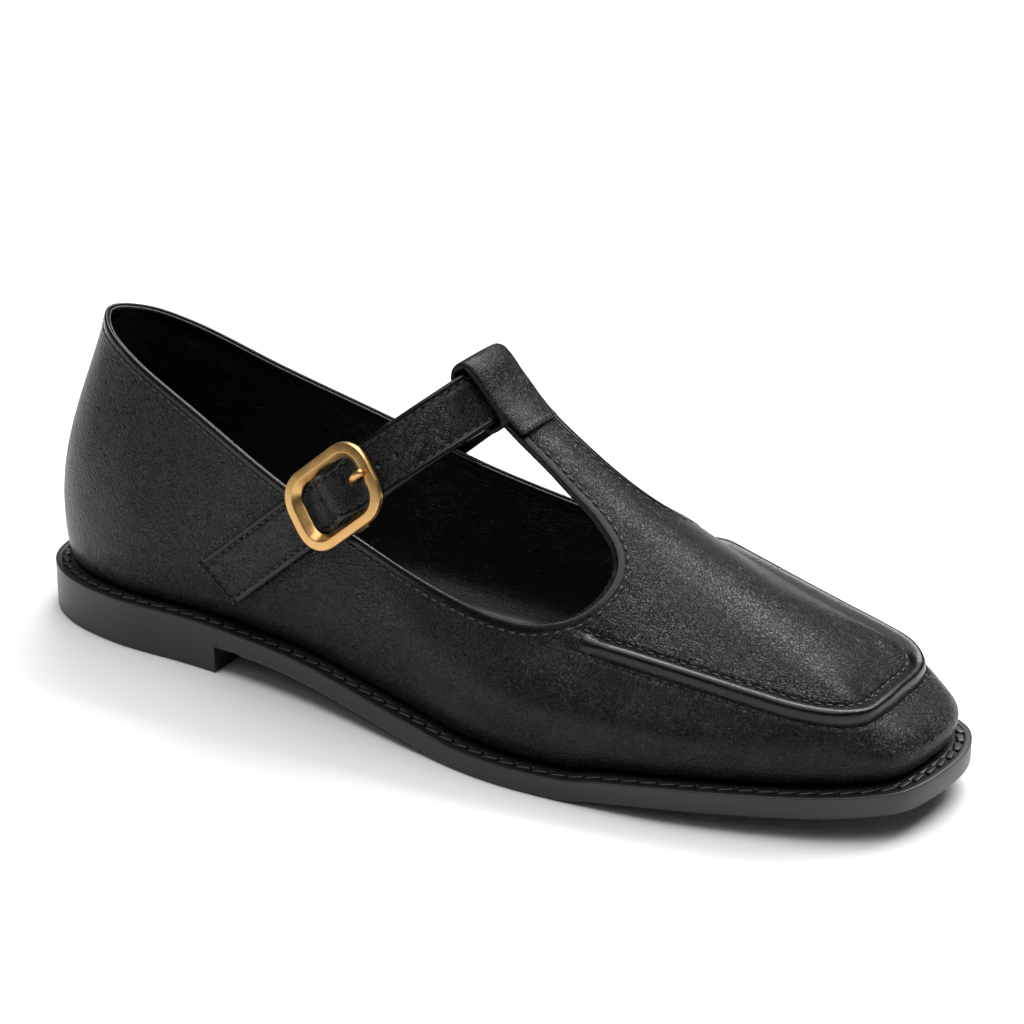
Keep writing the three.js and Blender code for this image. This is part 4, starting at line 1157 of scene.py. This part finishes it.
# Over the buckle's hidden bar the strap humps up and draws in a little.
on_bar = np.exp(-((((strap_path - PATH_START) @ PATH_RUN) / 4.2) ** 2)) * (strap_path[:, 1] < -20)
HUMP_RISE = 1.5
HUMP_DRAW = 0.8
# from the end, share of the half thickness there
END_EDGE = (
    (0, 0.5), (0.1, 0.8), (0.4, 1.08), (0.9, 1.16), (1.3, 1.08), (1.6, 0.84), (1.85, 0.62),
    (2.2, 0.76), (2.9, 1.0),
)
end_lift = np.interp(gone_by, *zip(*END_EDGE))
# across in half widths, out in half thicknesses: turned edges with a channel inside them
EDGE_PROFILE = (
    (-1.0, -0.5), (-1.0, 0.35), (-0.985, 0.8), (-0.945, 1.08), (-0.89, 1.16), (-0.83, 1.08),
    (-0.795, 0.84), (-0.76, 0.62), (-0.72, 0.74), (-0.66, 0.92), (-0.6, 0.99),
)
middle = [(a, 1.0) for a in np.linspace(-0.5, 0.5, 9)]
strap_section = [*EDGE_PROFILE, *middle, *[(-a, b) for a, b in EDGE_PROFILE[::-1]]]
strap_section += [(0.985, -0.8), (0.93, -1.0), (-0.93, -1.0), (-0.985, -0.8)]
# Small cross waves in the strap's face: place, height, half length, skew across.
WAVES = 46
crumple = np.random.default_rng(7)
wave_at = crumple.uniform(6, gone_by[-1] - 4, WAVES)
wave_size = crumple.uniform(-0.2, 0.22, WAVES)
wave_long = crumple.uniform(0.7, 1.9, WAVES)
wave_skew = crumple.uniform(-0.5, 0.5, WAVES)


def strap_ring(a, lift):
    """The strap's path moved across by half widths and out by a lift."""
    across = (a * (STRAP_WIDTH / 2 - HUMP_DRAW * on_bar))[:, None]
    ring = strap_path + strap_wide * across + strap_out * lift[:, None]
    return ring + PATH_RUN * (slant * (0.5 - a / 2))[:, None]


strap_rings = []
for a, b in strap_section:
    lift = (np.minimum(b, end_lift) if b > 0 else b) * STRAP_THICK / 2
    if b > 0.9 and abs(a) < 0.8:
        lift = np.where(gone_by < END_EDGE[-1][0], end_lift * STRAP_THICK / 2, lift)
    if b > 0.9 and abs(a) < 0.7:
        place = gone_by[:, None] - wave_at - wave_skew * a * 6
        lift = lift + (wave_size * np.exp(-((place / wave_long) ** 2))).sum(1)
    strap_rings.append(strap_ring(a, lift + HUMP_RISE * on_bar * (1 - 0.25 * a * a)))
strap_faces = open_band(len(strap_path), len(strap_rings))
# Painted shade: the strap's calf takes the darker near black instead of the upper's calf black, so
# the strap shows darker than the quarter it lies on; its grain crests also carry a painted
# highlight, 0.02 lighter.
strap_calf_painted_shade = leather(
    "calf_strap", NEAR_BLACK, 0.33, 0.0004, coat=0.08, gloss=0.2, painted_crest_highlight=0.02
)
rim_bands = {j for j, (a, b) in enumerate(strap_section) if abs(a) > 0.8}
strap_looks = [int(f[0] // len(strap_path) in rim_bands) for f in strap_faces]
strap = piece_from(
    "instep_strap",
    np.vstack(strap_rings),
    strap_faces,
    [strap_calf_painted_shade, edge_calf],
    sharp=50,
    which=strap_looks,
)


def strap_place(reach, across):
    """Where on the outer run a reach is, and the ways along, across and out there."""
    outer = strap_path[: np.argmax(strap_path[:, 1] > -12)]
    r = (outer - PATH_START) @ PATH_RUN
    f = np.interp(reach, r, np.arange(len(outer)))
    i = int(f)
    spot = strap_path[i] * (1 - f + i) + strap_path[i + 1] * (f - i)
    return spot + strap_wide[i] * across, strap_run[i], strap_wide[i], strap_out[i]


# the round punch for the holes
PUNCH_RADIUS = 0.75
PUNCH_DEPTH = 3.6
PUNCH_SIDES = 20
punch_points, punch_faces = [], []
for reach, across in STRAP_HOLES:
    spot, u, v, w = strap_place(reach, across)
    t = np.arange(PUNCH_SIDES) * 2 * math.pi / PUNCH_SIDES
    ring = spot + PUNCH_RADIUS * (np.outer(np.cos(t), u) + np.outer(np.sin(t), v))
    base = 2 * PUNCH_SIDES * len(punch_points)
    punch_points.append(np.vstack([ring - w * PUNCH_DEPTH, ring + w * PUNCH_DEPTH]))
    punch_faces += [tuple(base + i for i in f) for f in drum(PUNCH_SIDES, 2)]
punch = piece_from("punch", np.vstack(punch_points), punch_faces, [strap_calf_painted_shade])
cut_away(strap, punch)
finish_mesh(strap.data, 45)
dressed(strap, "strap_leather", "strap")

# The rows start a little in from the cut end, and one short row runs across there.
FIRST = 8
STRAP_PITCH = 2.7
END_PITCH = 2.4
STRAP_STITCH = (1.9, 0.55, 0.42)
strap_rows = []
for a in (-0.76, 0.76):
    ring = strap_ring(a, 0.72 * STRAP_THICK / 2 + HUMP_RISE * on_bar * 0.86)
    strap_rows.append(places_along(ring[FIRST:], strap_out[FIRST:], STRAP_PITCH))
end_line = np.linspace(strap_rows[0][0][0], strap_rows[1][0][0], 12) - strap_run[FIRST] * 1.2
strap_rows.append(places_along(end_line[1:-1], np.tile(strap_out[FIRST], (10, 1)), END_PITCH))
sewn("strap_stitches", strap_rows, STRAP_STITCH, "strap_leather")

# Loop
# A smooth band of calf folded round the strap, its front end sewn down across the T-bar
# by one fine row. It is what the T-bar ends in.
LOOP_WIDTH = 18.0
LOOP_AT = on_run(38, -1.0)
# how far the band is bent down 8 mm to the side
LOOP_BEND = 0.85
# toward the toe, away from the foot: the band's outside and the hole for the strap
LOOP_OUTSIDE = (
    (-8, -3.8), (0, -3.8), (8, -3.8), (9.2, -2.9), (9.6, -1.2), (9.6, 2), (9.6, 4.05),
    (11, 4.35), (14, 5.0), (14, 5.9), (12, 5.5), (10.2, 5.2), (6, 4.4), (0, 4), (-5.5, 4),
    (-8.4, 3.4), (-9.9, 1.8), (-10.3, 0), (-9.9, -1.8), (-9.1, -2.9),
)
LOOP_HOLE = (
    (-7.3, -2.1), (7.3, -2.1), (8.1, -1.6), (8.1, 1.4), (7.3, 1.8), (-7.3, 1.8), (-8.1, 1.4),
    (-8.1, -1.6),
)
# share of the half width, how far the band's edge is rounded off there
LOOP_CUTS = ((-1, 0.55), (-0.985, 0.25), (-0.95, 0.06), (-0.9, 0), (-0.5, 0), (0, 0))


def loop_spot(forward, side, up):
    """Places in the loop by toe way, side and height off the foot, its sides bent down."""
    return LOOP_AT - forward * PATH_RISE + (up - LOOP_BEND * (side / 8) ** 2) * PATH_RUN


def loop_ring(outline, y, thinner, steps):
    """One cross section of the loop, thinner all round by a distance."""
    flat = smooth_loop(np.array(outline, float), steps)
    run = unit(np.roll(flat, -1, 0) - np.roll(flat, 1, 0))
    flat = flat + np.column_stack([-run[:, 1], run[:, 0]]) * thinner
    out = loop_spot(flat[:, :1], y, flat[:, 1:])
    narrow = 0.12 if y > 0 else 0.02
    out[:, 1] += y * (1 - narrow * ease(3, 12, flat[:, 0]) - 0.02 * ease(3, 12, -flat[:, 0]))
    return out


cuts = list(LOOP_CUTS) + [(-a, b) for a, b in LOOP_CUTS[-2::-1]]
outside = [loop_ring(LOOP_OUTSIDE, a * LOOP_WIDTH / 2, b, 6) for a, b in cuts]
hollow = [loop_ring(LOOP_HOLE, a * LOOP_WIDTH / 2, -b, 8) for a, b in cuts]
many, few = len(outside[0]), len(hollow[0])
loop_faces = bands(many, len(cuts))
shift = many * len(cuts)
loop_faces += [tuple(shift + i for i in f[::-1]) for f in bands(few, len(cuts))]
loop_points = np.vstack(outside + hollow)
loop_calf = leather("calf_loop", CALF_BLACK, 0.36, 0.00014, coat=0.05, gloss=0.2)
loop_piece = piece_from("strap_loop_band", loop_points, loop_faces, [loop_calf], sharp=60)
work = opened(loop_piece.data)
open_edges = [e for e in work.edges if e.is_boundary]
for side in (-1, 1):
    ends = [e for e in open_edges if (e.verts[0].co.y - LOOP_AT[1] / 1000) * side > 0]
    bmesh.ops.triangle_fill(work, edges=ends, use_beauty=True)
put_back(work, loop_piece.data, outward=True)
finish_mesh(loop_piece.data, 60)
dressed(loop_piece, "strap_leather", "strap_loop")
# The row across the loop's front end: how far forward and up it lies, and its two ends.
TAB_ROW = (13.1, 5.8)
TAB_SIDES = np.linspace(-8.3, 6.4, 24)
TAB_PITCH = 1.7
TAB_STITCH = (1.15, 0.55, 0.4)
tab_line = np.array([loop_spot(TAB_ROW[0], y, TAB_ROW[1]) + (0, y, 0) for y in TAB_SIDES])
tab_row = places_along(tab_line, np.tile(PATH_RUN, (len(tab_line), 1)), TAB_PITCH)
sewn("loop_stitches", [tab_row], TAB_STITCH, "strap_leather")

# Buckle
# A cast brass frame, rounded square, with a flat brushed face, a soft outer edge and a
# bevel to the window; two lugs behind carry the bar that the strap humps over.
BUCKLE_LENGTH = 29.8
BUCKLE_WIDTH = 21.9
# side of the frame's back, and how far the frame is shifted along and across
BUCKLE_FACE = -32.4
BUCKLE_SHIFT = (-0.2, 0.0)
# The frame is turned a little so that its front side lies in toward the strap.
BUCKLE_TURN = 0.06
BUCKLE_LEAN = 0.2
buckle_wide = unit(PATH_RISE + (0, BUCKLE_LEAN, 0))
buckle_out = np.cross(PATH_RUN, buckle_wide)
BRASS = (0.6, 0.34, 0.12)
BRASS_DARK = (0.48, 0.27, 0.085)
BRASS_LIGHT = (0.74, 0.46, 0.19)
brass, brass_nodes, brass_shader = finish_of("brass_brushed", BRASS, 0.3, Metallic=1.0)
coords = node(brass_nodes, "ShaderNodeTexCoord", take="Object")
brushed = node(
    brass_nodes, "ShaderNodeMapping", Rotation=(0, -0.71, 0), Scale=(250, 900, 2600), Vector=coords
)
bumped(brass_nodes, brass_shader, noise(brass_nodes, brushed, 1.0, 3.0), 0.35, 0.00004)
tone = noise(brass_nodes, coords, 420.0, 4.0)
shade = blended(brass_nodes, tone, BRASS_DARK, BRASS_LIGHT)
brass_nodes.links.new(shade, brass_shader.inputs["Base Color"])
wear = ranged(brass_nodes, tone, To_Min=0.24, To_Max=0.42)
brass_nodes.links.new(wear, brass_shader.inputs["Roughness"])


def on_buckle(q, s, d):
    """A point by its place along the strap, across it and out from the frame's back."""
    turned = np.array([0, BUCKLE_TURN * q, 0])
    return on_run(q, BUCKLE_FACE) + turned + buckle_wide * s + buckle_out * d


FRAME_SIDES = 96


def rounded_square(long, wide, corner_round, out):
    """A ring of the frame with rounded corners."""
    t = 2 * math.pi * (np.arange(FRAME_SIDES) + 0.5) / FRAME_SIDES
    ring = []
    for c, s in zip(np.cos(t), np.sin(t)):
        # A power under one swells the corners a little beyond a plain arc.
        q = math.copysign(long / 2 - corner_round + corner_round * abs(c) ** 0.84, c)
        w = math.copysign(wide / 2 - corner_round + corner_round * abs(s) ** 0.84, s)
        ring.append(on_buckle(q + BUCKLE_SHIFT[0], w + BUCKLE_SHIFT[1], out))
    return ring


# less than the full length, less than the full width, corner, out from the back
FRAME_SECTION = (
    (1.4, 1.4, 8.6, 0.0), (0.5, 0.5, 9.05, 0.1), (0.1, 0.1, 9.25, 0.45), (0.0, 0.0, 9.3, 0.8),
    (0.0, 0.0, 9.3, 1.45), (0.15, 0.15, 9.22, 1.75), (0.5, 0.5, 9.05, 1.93),
    (0.9, 0.9, 8.85, 1.99), (4.9, 4.5, 6.8, 2.1), (5.2, 4.8, 6.65, 2.05), (8.8, 7.2, 4.9, 0.7),
    (9.2, 7.5, 4.7, 0.4), (9.2, 7.5, 4.7, 0.0),
)
frame_rings = [
    rounded_square(BUCKLE_LENGTH - a, BUCKLE_WIDTH - b, c, d) for a, b, c, d in FRAME_SECTION
]
metal_points = list(frame_rings)
metal_faces = bands(FRAME_SIDES, len(frame_rings), round_again=True)


def add_part(points, faces):
    """Adds a closed part to the buckle's metal."""
    base = sum(len(p) for p in metal_points)
    metal_points.append(points)
    metal_faces.extend(tuple(base + i for i in f) for f in faces)


# Two lugs reach back from the frame, and a bar of 1 mm radius runs between them.
LUG_CORNERS = ((-1.6, 8.4), (1.6, 8.4), (1.6, 10.2), (-1.6, 10.2))
LUG_DEPTHS = (-4, 0.5)
BAR_DEPTH = -3.1
BAR_ENDS = (-10, 9)
ROUND = np.arange(16) * 2 * math.pi / 16
for side in (-1, 1):
    lug = [on_buckle(q, side * w - 0.2, d) for d in LUG_DEPTHS for q, w in LUG_CORNERS]
    add_part(lug, drum(4, 2))
bar = [on_buckle(math.cos(a), w, BAR_DEPTH + math.sin(a)) for w in BAR_ENDS for a in ROUND]
add_part(bar, drum(len(ROUND), 2))
buckle = piece_from("buckle_frame", np.vstack(metal_points), metal_faces, [brass], sharp=20)
dressed(buckle, "buckle_metal", "buckle")

# Prong
# A round brass pin from the bar up through the strap, resting on the frame's front side.
# along the strap from the bar, out from the frame's back
PRONG_PATH = ((1.9, -3.4), (3.4, -3.35), (9.2, 2.5), (11.2, 3.3), (13.6, 3.3))
PRONG_SIDE = 0.3
PRONG_RADIUS = 1.05
PRONG_TIP = 1.0
prong_path = smooth_loop(np.array(PRONG_PATH, float), 8, closed=False)
prong_gone = gone_along(prong_path)
near_tip = 1 - np.clip((prong_gone[-1] - prong_gone) / PRONG_TIP, 0, 1)
prong_size = PRONG_RADIUS * np.sqrt(np.clip(1 - near_tip**2, 0.02, 1))
prong_points = [
    on_buckle(q - rise * r * math.cos(a), PRONG_SIDE + r * math.sin(a), d + on * r * math.cos(a))
    for (q, d), (on, rise), r in zip(prong_path, unit(np.gradient(prong_path, axis=0)), prong_size)
    for a in ROUND
]
prong_faces = drum(len(ROUND), len(prong_path))
prong = piece_from("buckle_prong", prong_points, prong_faces, [brass], sharp=60)
dressed(prong, "buckle_metal", "prong")

# Floor and light
# One plain pale sheet under the shoe, a weak white light all round, and three soft boxes.
floor_finish = finish_of("studio_floor", (0.9, 0.897, 0.892), 0.8, Specular_IOR_Level=0.1)[0]
floor_mesh = bpy.data.meshes.new("studio_floor")
FLOOR_REACH = 8.0
floor_mesh.from_pydata(
    [(a * FLOOR_REACH, b * FLOOR_REACH, 0) for a, b in ((-1, -1), (1, -1), (1, 1), (-1, 1))],
    [],
    [(0, 1, 2, 3)],
)
floor_mesh.materials.append(floor_finish)
floor = placed("studio_floor", floor_mesh)

ROUND_LIGHT = 0.08
world = bpy.data.worlds.new("studio")
bpy.context.scene.world = world
world.use_nodes = True
world.node_tree.nodes["Background"].inputs["Color"].default_value = (1, 1, 1, 1)
world.node_tree.nodes["Background"].inputs["Strength"].default_value = ROUND_LIGHT
bpy.context.scene.view_settings.view_transform = "Standard"

# from, aimed at, width, height, power
LIGHTS = (
    ("top_box", (0.1, 0.1, 2.4), (0.1, 0.1, 0.0), 3.0, 2.6, 70),
    ("back_box", (0.16, 1.2, 1.5), (0.14, 0.0, 0.05), 2.0, 0.75, 48),
    ("front_box", (-0.1, -1.5, 1.5), (0.08, 0.0, 0.03), 1.4, 0.7, 2),
)
for name, place, target, wide, high, power in LIGHTS:
    lamp = bpy.data.lights.new(name, "AREA")
    lamp.shape = "RECTANGLE"
    lamp.size = wide
    lamp.size_y = high
    lamp.energy = power
    box = placed(name, lamp)
    box.location = place
    box.rotation_euler = (Vector(target) - Vector(place)).to_track_quat("-Z", "Y").to_euler()
